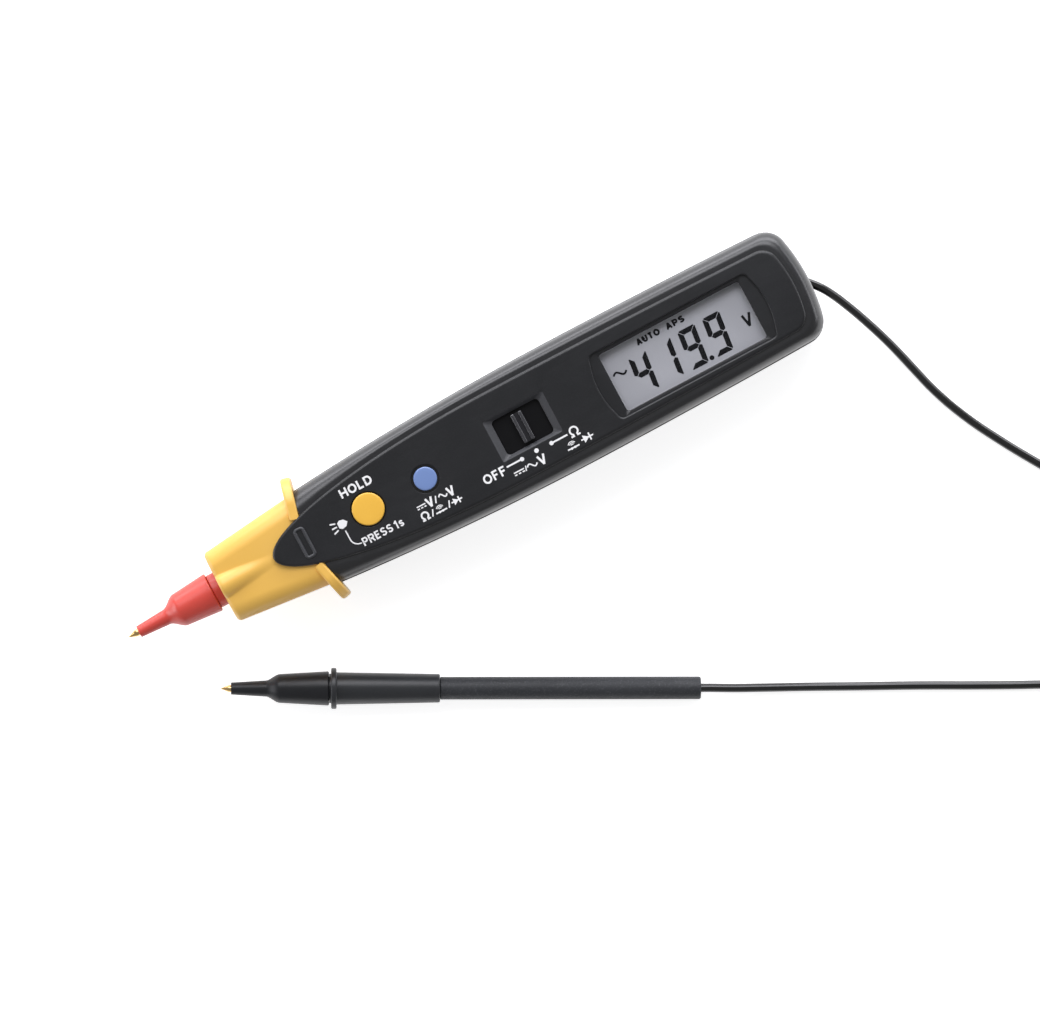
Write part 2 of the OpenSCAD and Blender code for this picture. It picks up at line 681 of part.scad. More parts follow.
module nose_guard() {
    color([0.93, 0.74, 0.30]) difference() {
        union() {
            skin(concat(
                [for (s = nose_face_stations)
                    nose_ring(face_x + nose_face_r * s, nose_face_r * (1 - sqrt(1 - pow(1 - s, 2))))],
                [for (i = [1:nose_n]) nose_ring(face_x + nose_face_r
                    + (nose_l - nose_face_r - fit_gap) * i / nose_n, 0)]));
            // Hump over the lamp
            translate([face_x, 0, lamp_z]) rotate([0, 90, 0])
                cylinder(r = hump_r, h = nose_l - 2 * hump_r - tail_bulge);
            wing();
            mirror([0, 1, 0]) wing();
            // Tenon that the case clamps
            translate([joint_x - tenon_l / 2, 0, (tenon_top + tenon_low) / 2]) rotate([90, 0, 90])
                linear_extrude(1.5 * tenon_l)
                    polygon(round_rect(2 * tenon_side, tenon_top - tenon_low, tenon_r));
        }
        // Pocket under the panel's tongue
        translate([0, 0, tongue_z - play]) linear_extrude(deep)
            polygon(panel_outline(-play));
        // Bores of the tip holder and the lamp
        translate([face_x - overrun, 0, pin_z]) rotate([0, 90, 0])
            cylinder(r = holder_d / 2 + fit_gap, h = nose_l + tenon_l + 2 * overrun);
        translate([face_x - overrun, 0, lamp_z]) rotate([0, 90, 0])
            cylinder(r = lamp_bore_r, h = nose_l + tenon_l + 2 * overrun);
    }
}

collar_x = face_x - collar_t;
cap_end_x = point_x + bare_l;
spigot_l = 6.6;
pin_rear_x = face_x + holder_in + 1.2 * nose_r;
pin_point_l = 2;
pin_tip_r = 0.15;
pin_bore_r = pin_d / 2 + fit_gap / 2;

// A part turned about the line along X at the pin's height, from [x, radius] pairs
module turned(profile) {
    translate([0, 0, pin_z]) rotate([0, 90, 0]) rotate_extrude() polygon([for (p = profile) [p[1], p[0]]]);
}

module tip_holder() {
    edge = collar_t / 8;
    color([0.80, 0.24, 0.20]) turned([
        [collar_x - spigot_l, pin_bore_r], [collar_x - spigot_l, spigot_d / 2 - edge],
        [collar_x - spigot_l + edge, spigot_d / 2], [collar_x, spigot_d / 2],
        [collar_x, collar_d / 2 - edge], [collar_x + edge, collar_d / 2],
        [face_x - fit_gap, collar_d / 2], [face_x - fit_gap, holder_d / 2],
        [face_x + holder_in, holder_d / 2], [face_x + holder_in, pin_bore_r]]);
}

module test_pin() {
    color([0.85, 0.72, 0.40]) turned([
        [point_x, 0], [point_x + pin_tip_r / 2, pin_tip_r], [point_x + pin_point_l, pin_d / 2],
        [pin_rear_x, pin_d / 2], [pin_rear_x, 0]]);
}

// Profile of a push-on cap, from its nozzle's end at zero to its rear: outside, then inside
function cap_profile(l, body_l, flare_l, end_r, root_r, body_r, socket_r, socket_l) =
    let (edge = body_r / 12, flare_x = l - body_l - flare_l, body_x = l - body_l,
         front_r = 0.84 * body_r)
    concat([[0, pin_d / 2 + play], [0, end_r - edge / 2], [edge / 2, end_r], [flare_x, root_r]],
        [for (i = [1:round_n]) let (t = i / round_n, s = t * t * (3 - 2 * t))
            [flare_x + flare_l * t, root_r + (front_r - root_r) * s]],
        [[l - edge, body_r], [l, body_r - edge], [l, socket_r], [l - socket_l, socket_r],
         [l - socket_l, pin_d / 2 + play]]);

tip_cap_l = collar_x - play / 3 - cap_end_x;
module tip_cap() {
    color([0.84, 0.27, 0.23]) turned([for (p = cap_profile(tip_cap_l, cap_body_l, cap_flare_l,
        nozzle_end_d / 2, nozzle_root_d / 2, cap_d / 2, spigot_d / 2 + play / 2, spigot_l + 2 * play))
        [cap_end_x + p[0], p[1]]]);
}

sleeve_r = pin_d / 2 + 0.7;
contact_l = 3.4;
module tip_contact() {
    strip_z = pin_z + sleeve_r;
    land_z = board_z - fit_gap;
    ramp_x = joint_x + tenon_l + 1.2;
    land_x = hold_x - hold_d / 2;
    width = 2.2;
    color([0.82, 0.68, 0.38]) {
        turned([[pin_rear_x - contact_l, pin_bore_r], [pin_rear_x - contact_l, sleeve_r],
            [pin_rear_x, sleeve_r], [pin_rear_x, pin_bore_r]]);
        translate([0, width / 2, 0]) rotate([90, 0, 0]) linear_extrude(width) polygon([
            [pin_rear_x - contact_l, strip_z - contact_t], [ramp_x, strip_z - contact_t],
            [land_x, land_z - contact_t], [land_x + contact_l, land_z - contact_t],
            [land_x + contact_l, land_z], [land_x, land_z], [ramp_x, strip_z],
            [pin_rear_x - contact_l, strip_z]]);
    }
}

lamp_l = 5.2;
module lamp_led() {
    r = lamp_d / 2;
    rim = 0.1;
    color([0.92, 0.94, 0.96]) translate([face_x + fit_gap, 0, lamp_z]) rotate([0, 90, 0])
        rotate_extrude() polygon(concat([[0, 0]],
            [for (i = [1:round_n]) let (a = 90 * i / round_n) [r * sin(a), r * (1 - cos(a))]],
            [[r, lamp_l - r / 2], [r + rim, lamp_l - r / 2], [r + rim, lamp_l], [0, lamp_l]]));
}

leg_r = 0.25;
leg_y = 0.64;

module lamp_legs() {
    start_x = face_x + fit_gap + lamp_l;
    foot_x = hold_x - hold_d / 2 - 2 * leg_r;
    bend_x = foot_x - lamp_d / 2;
    foot_z = board_top_z + leg_r + fit_gap;
    color([0.75, 0.75, 0.76]) for (s = [-1, 1]) translate([0, s * leg_y, 0])
        tube([[start_x, 0, lamp_z], [bend_x, 0, lamp_z], [foot_x, 0, foot_z], [foot_x + 4 * leg_r, 0, foot_z]],
            leg_r, 6, [1, 0, 0], [1, 0, 0]);
}

// Display stack, from the case's ceiling down to the board
frame_wall = 0.9;
lcd_l = view_l + 2.4;
lcd_w = view_w + 2;
stack_l = lcd_l + 2 * frame_wall;
stack_w = lcd_w + 2 * frame_wall;
zebra_w = 2.2;
zebra_in = 3;

module at_display() { translate([display_x, -display_drop, 0]) children(); }

module display_window() {
    color([0.80, 0.84, 0.86, 0.5]) at_display() translate([0, 0, window_z]) linear_extrude(window_t)
        polygon(round_rect(stack_l, stack_w, bezel_r));
}

module lcd_glass() {
    color([0.64, 0.66, 0.64]) at_display() translate([-lcd_l / 2 + play, -lcd_w / 2 + play, lcd_z])
        cube([lcd_l - 2 * play, lcd_w - 2 * play, lcd_t]);
}

module lcd_frame() {
    color([0.88, 0.88, 0.86]) at_display() translate([0, 0, board_top_z + fit_gap]) difference() {
        linear_extrude(window_z - fit_gap - board_top_z - fit_gap)
            polygon(round_rect(stack_l, stack_w, bezel_r));
        translate([-lcd_l / 2, -lcd_w / 2, lcd_z - fit_gap - board_top_z - fit_gap])
            cube([lcd_l, lcd_w, deep]);
        for (s = [-1, 1]) translate([-lcd_l / 2 + zebra_in, s * (lcd_w - zebra_w - 2 * play) / 2
            - (zebra_w + play) / 2, -overrun])
            cube([lcd_l - 2 * zebra_in, zebra_w + play, deep]);
        translate([-lcd_l / 2 + zebra_in, -lcd_w / 2 + 2 * zebra_w, -overrun])
            cube([lcd_l - 2 * zebra_in, lcd_w - 4 * zebra_w, deep]);
    }
}

module zebra_strips() {
    color([0.85, 0.52, 0.50]) at_display() for (s = [-1, 1])
        translate([-lcd_l / 2 + zebra_in + play, s * (lcd_w - zebra_w - 2 * play) / 2 - zebra_w / 2
            + play / 2, board_top_z + fit_gap])
            cube([lcd_l - 2 * zebra_in - 2 * play, zebra_w - play, lcd_z - board_top_z - 2 * fit_gap]);
}

board_nose_x = joint_x + screw_inset_x + post_r - 0.4;
board_tail_x = display_x + stack_l / 2 - 0.4;
board_n = 8;
module main_board() {
    edge = [for (i = [0:board_n]) let (x = board_nose_x + (board_tail_x - board_nose_x) * i / board_n)
        [x, case_half(x) - wall_t - board_gap]];
    color([0.12, 0.36, 0.20]) translate([0, 0, board_z]) linear_extrude(board_t)
        polygon(concat(edge, [for (i = [board_n:-1:0]) [edge[i][0], -edge[i][1]]]));
}

chip_l = 12;
chip_t = 1.9;
chip_x = display_x - view_l / 2 + 2;
chip_pin_l = 1.1;
chip_pin_w = 0.3;
chip_pins = 11;
module meter_chip() {
    top = board_z - fit_gap;
    pitch = chip_l / (chip_pins + 1);
    color([0.10, 0.10, 0.11]) {
        translate([chip_x - chip_l / 2, -chip_l / 2, top - chip_t]) cube([chip_l, chip_l, chip_t]);
        for (s = [-1, 1], i = [1:chip_pins])
            translate([chip_x - chip_l / 2 + pitch * i - chip_pin_w / 2,
                s * (chip_l + chip_pin_l) / 2 - chip_pin_l / 2 - fit_gap, top - chip_pin_w])
                cube([chip_pin_w, chip_pin_l + 2 * fit_gap, chip_pin_w]);
    }
}

resistor_d = 2.4;
resistor_l = 6.4;
resistor_pitch = 3.6;
module input_resistors() {
    color([0.80, 0.70, 0.50]) for (i = [-1:1])
        translate([hold_x + 4, i * resistor_pitch, board_z - fit_gap - resistor_d / 2]) rotate([0, 90, 0]) {
            for (e = [0, 1]) translate([0, 0, e * (resistor_l - resistor_d)])
                cylinder(r = resistor_d / 2, h = resistor_d);
            cylinder(r = 0.42 * resistor_d, h = resistor_l);
        }
}

buzzer_t = 3;
module buzzer() {
    hole_r = buzzer_d / 10;
    color([0.13, 0.13, 0.14]) translate([switch_x, 0, board_z - fit_gap - buzzer_t]) difference() {
        cylinder(r = buzzer_d / 2, h = buzzer_t);
        translate([0, 0, -overrun]) cylinder(r = hole_r, h = buzzer_t / 3 + overrun);
    }
}

// Push buttons: a cap with a flange under the panel, on the plunger of a board switch
flange_t = 0.9;
flange_top_z = ceiling_z - fit_gap;
flange_z = flange_top_z - flange_t;
stem_r = 1.5;
plunger_r = 1.7;
plunger_top_z = flange_z - button_travel;
body_share = 0.78;
body_top_z = board_top_z + body_share * (plunger_top_z - board_top_z);
plunger_z = body_top_z - 0.7;
body_w = 6;

module push_button(x, d, proud, flange_r) {
    edge = d / 26;
    translate([x, 0, 0]) rotate_extrude() polygon([
        [0, plunger_top_z + fit_gap], [stem_r, plunger_top_z + fit_gap], [stem_r, flange_z],
        [flange_r, flange_z], [flange_r, flange_top_z], [d / 2, flange_top_z],
        [d / 2, case_d + proud - edge], [d / 2 - edge, case_d + proud], [0, case_d + proud]]);
}

module plunger(x) { translate([x, 0, plunger_z]) cylinder(r = plunger_r, h = plunger_top_z - plunger_z); }

module board_switch(x) {
    foot = 0.6;
    translate([x, 0, board_top_z + fit_gap]) difference() {
        union() {
            translate([-body_w / 2, -body_w / 2, 0]) cube([body_w, body_w, body_top_z - board_top_z - fit_gap]);
            for (sx = [-1, 1], sy = [-1, 1])
                translate([sx * body_w / 3 - foot / 2, sy * (body_w + foot) / 2 - foot, 0])
                    cube([foot, 2 * foot, foot]);
        }
        translate([0, 0, plunger_z - button_travel - play - board_top_z])
            cylinder(r = plunger_r + play, h = deep);
    }
}

module hold_button() { color([0.94, 0.75, 0.31]) push_button(hold_x, hold_d, hold_proud, hold_flange_r); }
module hold_plunger() { color([0.15, 0.15, 0.16]) plunger(hold_x); }
module hold_switch() { color([0.70, 0.70, 0.71]) board_switch(hold_x); }
module select_button() {
    color([0.47, 0.57, 0.79]) push_button(select_x, select_d, select_proud, select_flange_r);
}
module select_plunger() { color([0.15, 0.15, 0.16]) plunger(select_x); }
module select_switch() { color([0.70, 0.70, 0.71]) board_switch(select_x); }

carrier_l = 6;
carrier_w = 7;
carrier_z = board_top_z + 2.1;
module switch_knob() {
    plate_z = knob_top_z - knob_plate_t;
    rib_top = case_d - play;
    color([0.07, 0.07, 0.08]) translate([switch_x, 0, 0]) difference() {
        union() {
            translate([-knob_plate_l / 2, -knob_plate_w / 2, plate_z])
                cube([knob_plate_l, knob_plate_w, knob_plate_t]);
            translate([0, 0, plate_z]) linear_extrude(rib_top - plate_z)
                polygon(round_rect(rib_w, rib_l, rib_w / 4));
            translate([-carrier_l / 2, -carrier_w / 2, carrier_z])
                cube([carrier_l, carrier_w, plate_z - carrier_z + fit_gap]);
        }
        for (s = [-1, 1]) translate([s * rib_w / 4.4 - rib_groove / 2, -rib_l / 2 + rib_groove, rib_top - rib_groove])
            cube([rib_groove, rib_l - 2 * rib_groove, deep]);
    }
}

wiper_w = 1.6;
module switch_wiper() {
    top = carrier_z - fit_gap;
    low = board_top_z + fit_gap;
    half = carrier_l / 2;
    color([0.86, 0.74, 0.45]) translate([switch_x, 0, 0]) for (s = [-1, 1])
        translate([0, s * carrier_w / 4 + wiper_w / 2, 0]) rotate([90, 0, 0]) linear_extrude(wiper_w)
            polygon([[-half, top], [-half, top - contact_t], [half / 3, top - contact_t],
                [half - contact_t, low + contact_t], [half - contact_t, low],
                [half + contact_t, low], [half + contact_t, low + contact_t], [half / 2, top]]);
}

// A button cell: the can with a rounded base edge, and the smaller cap below it
module cell(z) {
    step = cell_t / 9;
    translate([cell_x, 0, z]) rotate_extrude() polygon([
        [0, 0], [0.42 * cell_d, 0], [0.42 * cell_d, step], [cell_d / 2 - step / 2, step],
        [cell_d / 2, 1.5 * step], [cell_d / 2, cell_t - step / 2], [cell_d / 2 - step / 2, cell_t], [0, cell_t]]);
}
module lower_cell() { color([0.78, 0.78, 0.80]) cell(cell_z); }
module upper_cell() { color([0.80, 0.80, 0.82]) cell(cell_z + cell_t + fit_gap); }

module cell_spring() {
    top = board_z - fit_gap;
    low = cells_top_z;
    r0 = cell_d / 6;
    r1 = cell_d / 3;
    color([0.78, 0.78, 0.76]) translate([cell_x, 0, 0]) rotate_extrude() polygon([
        [r0 - contact_t, low], [r0, low], [r1, top - contact_t], [r1 + 2 * contact_t, top - contact_t],
        [r1 + 2 * contact_t, top], [r1 - contact_t, top], [r0 - contact_t, low + contact_t]]);
}

module cover_contact() {
    color([0.80, 0.76, 0.62]) translate([cell_x - cell_d / 4, -contact_w / 2, cover_t + fit_gap])
        cube([side_contact_x - fit_gap - cell_x + cell_d / 4, contact_w, contact_t]);
}

module side_contact() {
    low = cover_t + fit_gap;
    color([0.80, 0.76, 0.62]) translate([side_contact_x, -contact_w / 2, low])
        cube([contact_t, contact_w, board_z - fit_gap - low]);
}

module battery_cover() {
    groove = 0.5;
    color([0.14, 0.145, 0.16]) difference() {
        translate([cover_x, 0, play / 2]) linear_extrude(cover_t - play / 2)
            polygon(round_rect(cover_l - 2 * play, cover_w - 2 * play, cover_corner_r - play));
        translate([cover_screw_x, 0, -overrun]) cylinder(r = screw_d / 2 + play, h = cover_t + 2 * overrun);
        translate([cover_screw_x, 0, -overrun]) cylinder(r = head_bore_d / 2, h = cover_t / 2 + overrun);
        // Grip grooves at the end away from the screw
        for (i = [0:2]) translate([cover_x + cover_l / 2 - 3 * groove * (i + 1.6), -cover_w / 4, 0])
            cube([groove, cover_w / 2, groove]);
    }
}

// A screw that points up, with its head's underside at z = 0
module screw(l, head, head_t) {
    slot = screw_d / 4;
    difference() {
        union() {
            cylinder(r = screw_d / 2 - fit_gap, h = l);
            translate([0, 0, -head_t]) cylinder(r = head / 2, h = head_t + fit_gap);
        }
        for (a = [0, 90]) rotate([0, 0, a])
            translate([-head / 3, -slot / 2, -head_t - overrun]) cube([2 * head / 3, slot, head_t / 2 + overrun]);
    }
}

module cover_screw() {
    seat = cover_t / 2;
    color([0.60, 0.60, 0.62]) translate([cover_screw_x, 0, seat - fit_gap])
        screw(screw_l - 2 * wall_t, screw_head_d, seat - play);
}

module case_screws() {
    color([0.60, 0.60, 0.62]) at_screws() translate([0, 0, head_top_z - fit_gap])
        screw(screw_l, screw_head_d, head_h);
}

module cord_grommet() {
    color([0.06, 0.06, 0.065]) translate([0, 0, exit_z]) rotate([0, 90, 0]) rotate_extrude() polygon([
        [cord_r + fit_gap / 2, grommet_start_x], [grommet_flange_r, grommet_start_x],
        [grommet_flange_r, well_floor_x - well_wall - fit_gap],
        [grommet_neck_r, well_floor_x - well_wall - fit_gap], [grommet_neck_r, well_floor_x + fit_gap],
        [grommet_root_r, well_floor_x + fit_gap], [grommet_end_r, grommet_end_x],
        [cord_r + fit_gap / 2, grommet_end_x]]);
}

// Smooth curve through a list of points, with steps points for each stretch
function between(p, i) = p[min(max(i, 0), len(p) - 1)];
function smooth(p, steps) = concat([for (i = [0:len(p) - 2], k = [0:steps - 1])
    let (t = k / steps, a = between(p, i - 1), b = p[i], c = p[i + 1], d = between(p, i + 2))
    (2 * b + (c - a) * t + (2 * a - 5 * b + 4 * c - d) * t * t + (3 * b - a - 3 * c + d) * t * t * t) / 2],
    [p[len(p) - 1]]);

// The coil: a lower layer that winds in, a climb in the half turn where it reverses, an upper layer out
coil_centre = [126.7, -103.4];
coil_r = 15.9;
coil_pitch = 2.6;
coil_in_angle = 38;
coil_layer_turns = 2.925;
coil_climb_turns = 0.5;
coil_turns = 2 * coil_layer_turns + coil_climb_turns;
rings_per_turn = 24;
coil_rings = round(coil_turns * rings_per_turn);
coil_low_z = cord_r;

function ease(t) = t * t * (3 - 2 * t);
function coil_radius(t) =
    let (inner = coil_r - coil_pitch * coil_layer_turns, u = t - coil_layer_turns)
    u < 0 ? coil_r - coil_pitch * t
    : u < coil_climb_turns ? inner - coil_pitch * u + coil_pitch * u * u / coil_climb_turns
    : inner + coil_pitch * (u - coil_climb_turns);
function coil_height(t) = coil_low_z
    + coil_pitch * ease(min(max((t - coil_layer_turns) / coil_climb_turns, 0), 1));
function coil_point(t) =
    let (p = coil_centre + polar(coil_radius(t), coil_in_angle - 360 * t)) [p[0], p[1], coil_height(t)];
function coil_heading(t) = let (a = coil_in_angle - 360 * t) [sin(a), -cos(a), 0];

coil_middle = [for (i = [0:coil_rings]) coil_point(coil_turns * i / coil_rings)];
coil_first = coil_heading(0);
coil_last = coil_heading(coil_turns);
coil_path = concat([coil_middle[0] - cord_d * coil_first], coil_middle,
    [coil_middle[coil_rings] + cord_d * coil_last]);
coil_gap = min([for (i = [0:coil_rings], j = [0:coil_rings])
    if (j - i > rings_per_turn / 2) norm(coil_middle[j] - coil_middle[i])]) - cord_d;
echo(coil_least_gap_mm = coil_gap);

function path_length(p) = [for (i = [0:len(p) - 2]) norm(p[i + 1] - p[i])] * [for (i = [0:len(p) - 2]) 1];

// Route of the lead from the tail to the coil
tail_exit_route = [[-2.8, 0, 0], [-1, -0.8, -0.1], [0.4, -2.2, -0.3], [1.9, -4, -0.7], [3.3, -6.2, -1.2],
    [5.8, -11.4, -2.5]];
tail_floor_route = [[98.9, -16.6, 2.9], [100.8, -21.9, 1.9], [102.2, -26.5, 1.3], [103.4, -31, 1.05],
    [105.5, -38.5, 1.05], [108.8, -46.8, 1.05], [113.4, -55.6, 1.05], [119, -65, 1.05], [125.2, -74.6, 1.05],
    [130.8, -82.8, 1.05]];
tail_route = concat([for (p = tail_exit_route) p + [tail_x, 0, exit_z]], tail_floor_route);
tail_start = [grommet_end_x, 0, exit_z];
tail_path = smooth(concat([tail_start], tail_route,
    [coil_path[0] - 1.6 * cord_d * coil_first, coil_path[0]]), 2);

// Route of the lead from the coil to the probe
probe_turn = -28;
probe_tip = [-77.8, -21];
probe_ring_x = probe_ring_from_tip + probe_ring_t * 3 / 4;
barrel_edge = barrel_d / 18;
probe_tilt = atan((probe_ring_d - barrel_d) / 2 / (probe_l - barrel_edge - probe_ring_x));
probe_tip_z = probe_ring_d / 2 * cos(probe_tilt) + probe_ring_x * sin(probe_tilt);
probe_heading = [cos(probe_tilt) * cos(probe_turn), cos(probe_tilt) * sin(probe_turn), -sin(probe_tilt)];
probe_start = [probe_tip[0], probe_tip[1], probe_tip_z];
probe_end = probe_start + probe_l * probe_heading;
probe_route = [[30, -78.4, 2.1], [37, -82, 1.4], [46, -86.6, 1.05], [56, -91.8, 1.05], [69, -98.5, 1.05],
    [82, -105.4, 1.05], [94, -111.6, 1.05], [102, -115.4, 1.05], [110, -118, 1.4], [117, -119.1, 2.4],
    [121.5, -119.4, 3.4]];
probe_path = smooth(concat([probe_end, probe_end + cord_d * probe_heading], probe_route,
    [coil_path[len(coil_path) - 1]]), 2);
echo(cord_length_mm = path_length(tail_path) + path_length(coil_path) + path_length(probe_path));

module inner_lead() {
    up_x = side_contact_x + cord_d;
    color([0.05, 0.05, 0.055]) tube([[grommet_end_x, 0, exit_z], [grommet_start_x - cord_r, 0, exit_z],
        [grommet_start_x - 1.8 * cord_d, 0, exit_z + cord_r], [up_x + cord_r, 0, exit_z + 2 * cord_d],
        [up_x, 0, board_z - cord_d], [up_x, 0, board_z - fit_gap]], cord_r, 8, [-1, 0, 0], [0, 0, 1]);
}

module cord_tail() { color([0.04, 0.04, 0.045]) tube(tail_path, cord_r, 8, [1, 0, 0], coil_first); }
module cord_coil() { color([0.05, 0.05, 0.055]) tube(coil_path, cord_r, 6, coil_first, coil_last); }
module cord_probe() {
    color([0.04, 0.04, 0.045]) tube(probe_path, cord_r, 8, probe_heading, -coil_last);
}

// A part turned about the probe's own line, from [distance from the point, radius] pairs
module probe_turned(profile) {
    translate(probe_start) rotate([0, 90 + probe_tilt, probe_turn])
        rotate_extrude() polygon([for (p = profile) [p[1], p[0]]]);
}

probe_bare_l = 2.4;
probe_cap_gap = 0.5;
probe_cap_l = probe_ring_from_tip - probe_cap_gap - probe_bare_l;
probe_spigot_x = probe_bare_l + 0.62 * probe_cap_l;
probe_pin_in = 8.5;
probe_pin_rear = probe_ring_from_tip + probe_ring_t + probe_pin_in;
handle_end = probe_ring_from_tip + probe_ring_t + handle_l;
chamber_r = 2.2;
ferrule_r = 1.5;
ferrule_l = 7.5;
chamber_x = probe_pin_rear - ferrule_l / 2 - 1;
barrel_tenon = 12;
lead_bore_r = cord_r + fit_gap / 2;

probe_cap_body_l = 11.6;
probe_cap_flare_l = 3.6;
module probe_cap() {
    color([0.13, 0.13, 0.14]) probe_turned([for (p = cap_profile(
        probe_cap_l, probe_cap_body_l, probe_cap_flare_l, nozzle_end_d / 2, nozzle_root_d / 2,
        probe_cap_d / 2, spigot_d / 2 + play / 2,
        probe_cap_l + probe_bare_l - probe_spigot_x + play)) [probe_bare_l + p[0], p[1]]]);
}

module probe_pin() {
    color([0.85, 0.72, 0.40]) probe_turned([[0, 0], [pin_tip_r / 2, pin_tip_r], [pin_point_l, pin_d / 2],
        [probe_pin_rear, pin_d / 2], [probe_pin_rear, 0]]);
}

module probe_handle() {
    r = probe_ring_d / 2;
    edge = probe_ring_t / 4;
    ring_x = probe_ring_from_tip;
    neck_r = 0.86 * probe_cap_d / 2;
    color([0.13, 0.13, 0.14]) probe_turned([
        [probe_spigot_x, pin_bore_r], [probe_spigot_x, spigot_d / 2],
        [ring_x - probe_cap_gap + fit_gap, spigot_d / 2], [ring_x - probe_cap_gap + fit_gap, neck_r],
        [ring_x, neck_r], [ring_x, r - edge], [ring_x + edge, r], [ring_x + probe_ring_t - edge, r],
        [ring_x + probe_ring_t, r - edge], [ring_x + probe_ring_t, handle_d / 2],
        [handle_end - edge, handle_rear_d / 2], [handle_end, handle_rear_d / 2 - edge],
        [handle_end, chamber_r], [chamber_x, chamber_r], [chamber_x, pin_bore_r]]);
}

module probe_ferrule() {
    x = probe_pin_rear - ferrule_l / 2;
    color([0.80, 0.78, 0.70]) probe_turned([[x, pin_bore_r], [x, ferrule_r], [x + ferrule_l, ferrule_r],
        [x + ferrule_l, 0], [probe_pin_rear + fit_gap, 0], [probe_pin_rear + fit_gap, pin_bore_r]]);
}

module probe_barrel() {
    edge = barrel_edge;
    tenon_x = handle_end - barrel_tenon;
    color([0.16, 0.165, 0.17]) probe_turned([
        [tenon_x, lead_bore_r], [tenon_x, chamber_r - fit_gap], [handle_end + fit_gap, chamber_r - fit_gap],
        [handle_end + fit_gap, barrel_d / 2 - edge], [handle_end + fit_gap + edge, barrel_d / 2],
        [probe_l - edge, barrel_d / 2], [probe_l, barrel_d / 2 - edge], [probe_l, lead_bore_r]]);
}

module probe_lead() {
    x = probe_pin_rear + ferrule_l / 2 + fit_gap;
    color([0.05, 0.05, 0.055]) probe_turned([[x, 0], [x, cord_r], [probe_l, cord_r], [probe_l, 0]]);
}

front_case();
rear_case();
nose_guard();
tip_holder();
test_pin();
tip_cap();
tip_contact();
lamp_led();
lamp_legs();
display_window();
lcd_glass();
lcd_frame();
zebra_strips();
main_board();
meter_chip();
input_resistors();
buzzer();
hold_button();
hold_plunger();
hold_switch();
select_button();
select_plunger();
select_switch();
switch_knob();
switch_wiper();
lower_cell();
upper_cell();
cell_spring();
cover_contact();
side_contact();
battery_cover();
cover_screw();
case_screws();
cord_grommet();
inner_lead();
cord_tail();
cord_coil();
cord_probe();
probe_cap();
probe_pin();
probe_handle();
probe_ferrule();
probe_barrel();
probe_lead();
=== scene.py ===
"""A pen multimeter with a capped test pin and a second probe on its lead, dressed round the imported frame.

Lengths in the classes are millimetres in the part's own frame: X runs along the pen from the test pin to the
tail, Y across it and Z up from the flat back. Meshes are made in metres, with their objects at the origin.
"""

import logging
import math
from dataclasses import dataclass, field
from enum import Enum
from typing import Any, Callable, Mapping, Sequence

import bmesh
import bpy
from mathutils import Matrix, Vector


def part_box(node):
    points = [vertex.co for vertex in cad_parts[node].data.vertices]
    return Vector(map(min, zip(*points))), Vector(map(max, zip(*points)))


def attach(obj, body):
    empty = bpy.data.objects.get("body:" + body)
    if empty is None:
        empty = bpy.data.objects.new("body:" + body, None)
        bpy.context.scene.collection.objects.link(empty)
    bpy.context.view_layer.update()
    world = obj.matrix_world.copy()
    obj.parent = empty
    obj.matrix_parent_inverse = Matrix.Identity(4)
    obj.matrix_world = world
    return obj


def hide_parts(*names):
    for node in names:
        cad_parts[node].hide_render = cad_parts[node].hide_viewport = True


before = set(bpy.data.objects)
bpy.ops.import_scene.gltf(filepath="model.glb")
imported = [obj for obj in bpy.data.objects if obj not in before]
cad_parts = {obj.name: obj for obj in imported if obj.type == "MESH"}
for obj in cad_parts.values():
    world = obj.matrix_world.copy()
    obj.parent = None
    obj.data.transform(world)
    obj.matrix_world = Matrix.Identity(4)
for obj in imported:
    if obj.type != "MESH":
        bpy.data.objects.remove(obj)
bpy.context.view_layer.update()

log = logging.getLogger("pen_multimeter")

MM = 0.001
Flat = tuple[float, float]
Spot = tuple[float, float, float]
Colour = tuple[int, int, int]
Ring = Sequence[Sequence[float]]
Shape = Callable[[float], list[Flat]]

SHARP = 38.0  # Degrees past which an edge stays sharp
MERGE = 2e-7  # Metres within which two drawn points are one
CAD_MERGE = 1e-6  # The same for the CAD's own points


# Drawing


def polar(radius: float, degrees: float) -> Flat:
    """A point on a circle round the origin."""
    angle = math.radians(degrees)
    return radius * math.cos(angle), radius * math.sin(angle)


def mixed(a: float, b: float, share: float) -> float:
    """The value that lies a share of the way from a to b."""
    return a * (1 - share) + b * share


def eased(t: float) -> float:
    """A step from 0 to 1 that starts and ends level."""
    return t * t * (3 - 2 * t)


def soft_max(a: float, b: float, width: float) -> float:
    """The greater of two heights, with the crease between them filled over a width."""
    share = min(max(0.5 + 0.5 * (a - b) / width, 0), 1)
    return mixed(b, a, share) + width * share * (1 - share)


def circle(x: float, y: float, radius: float, sides: int) -> list[Flat]:
    """A closed circle, anticlockwise."""
    return [(x + p[0], y + p[1]) for p in (polar(radius, 360 * i / sides) for i in range(sides))]


def round_rect(length: float, width: float, radius: float, at: Flat) -> list[Flat]:
    """A closed rectangle with round corners, anticlockwise.

    Args:
        length: Its size along X.
        width: Its size along Y.
        radius: The radius of its corners.
        at: Its middle.

    Returns:
        The points of the outline.
    """
    points, steps = [], 8
    for quarter, (sx, sy) in enumerate(((1, 1), (-1, 1), (-1, -1), (1, -1))):
        for i in range(steps + 1):
            x, y = polar(radius, 90 * quarter + 90 * i / steps)
            points.append((at[0] + sx * (length / 2 - radius) + x, at[1] + sy * (width / 2 - radius) + y))
    return points


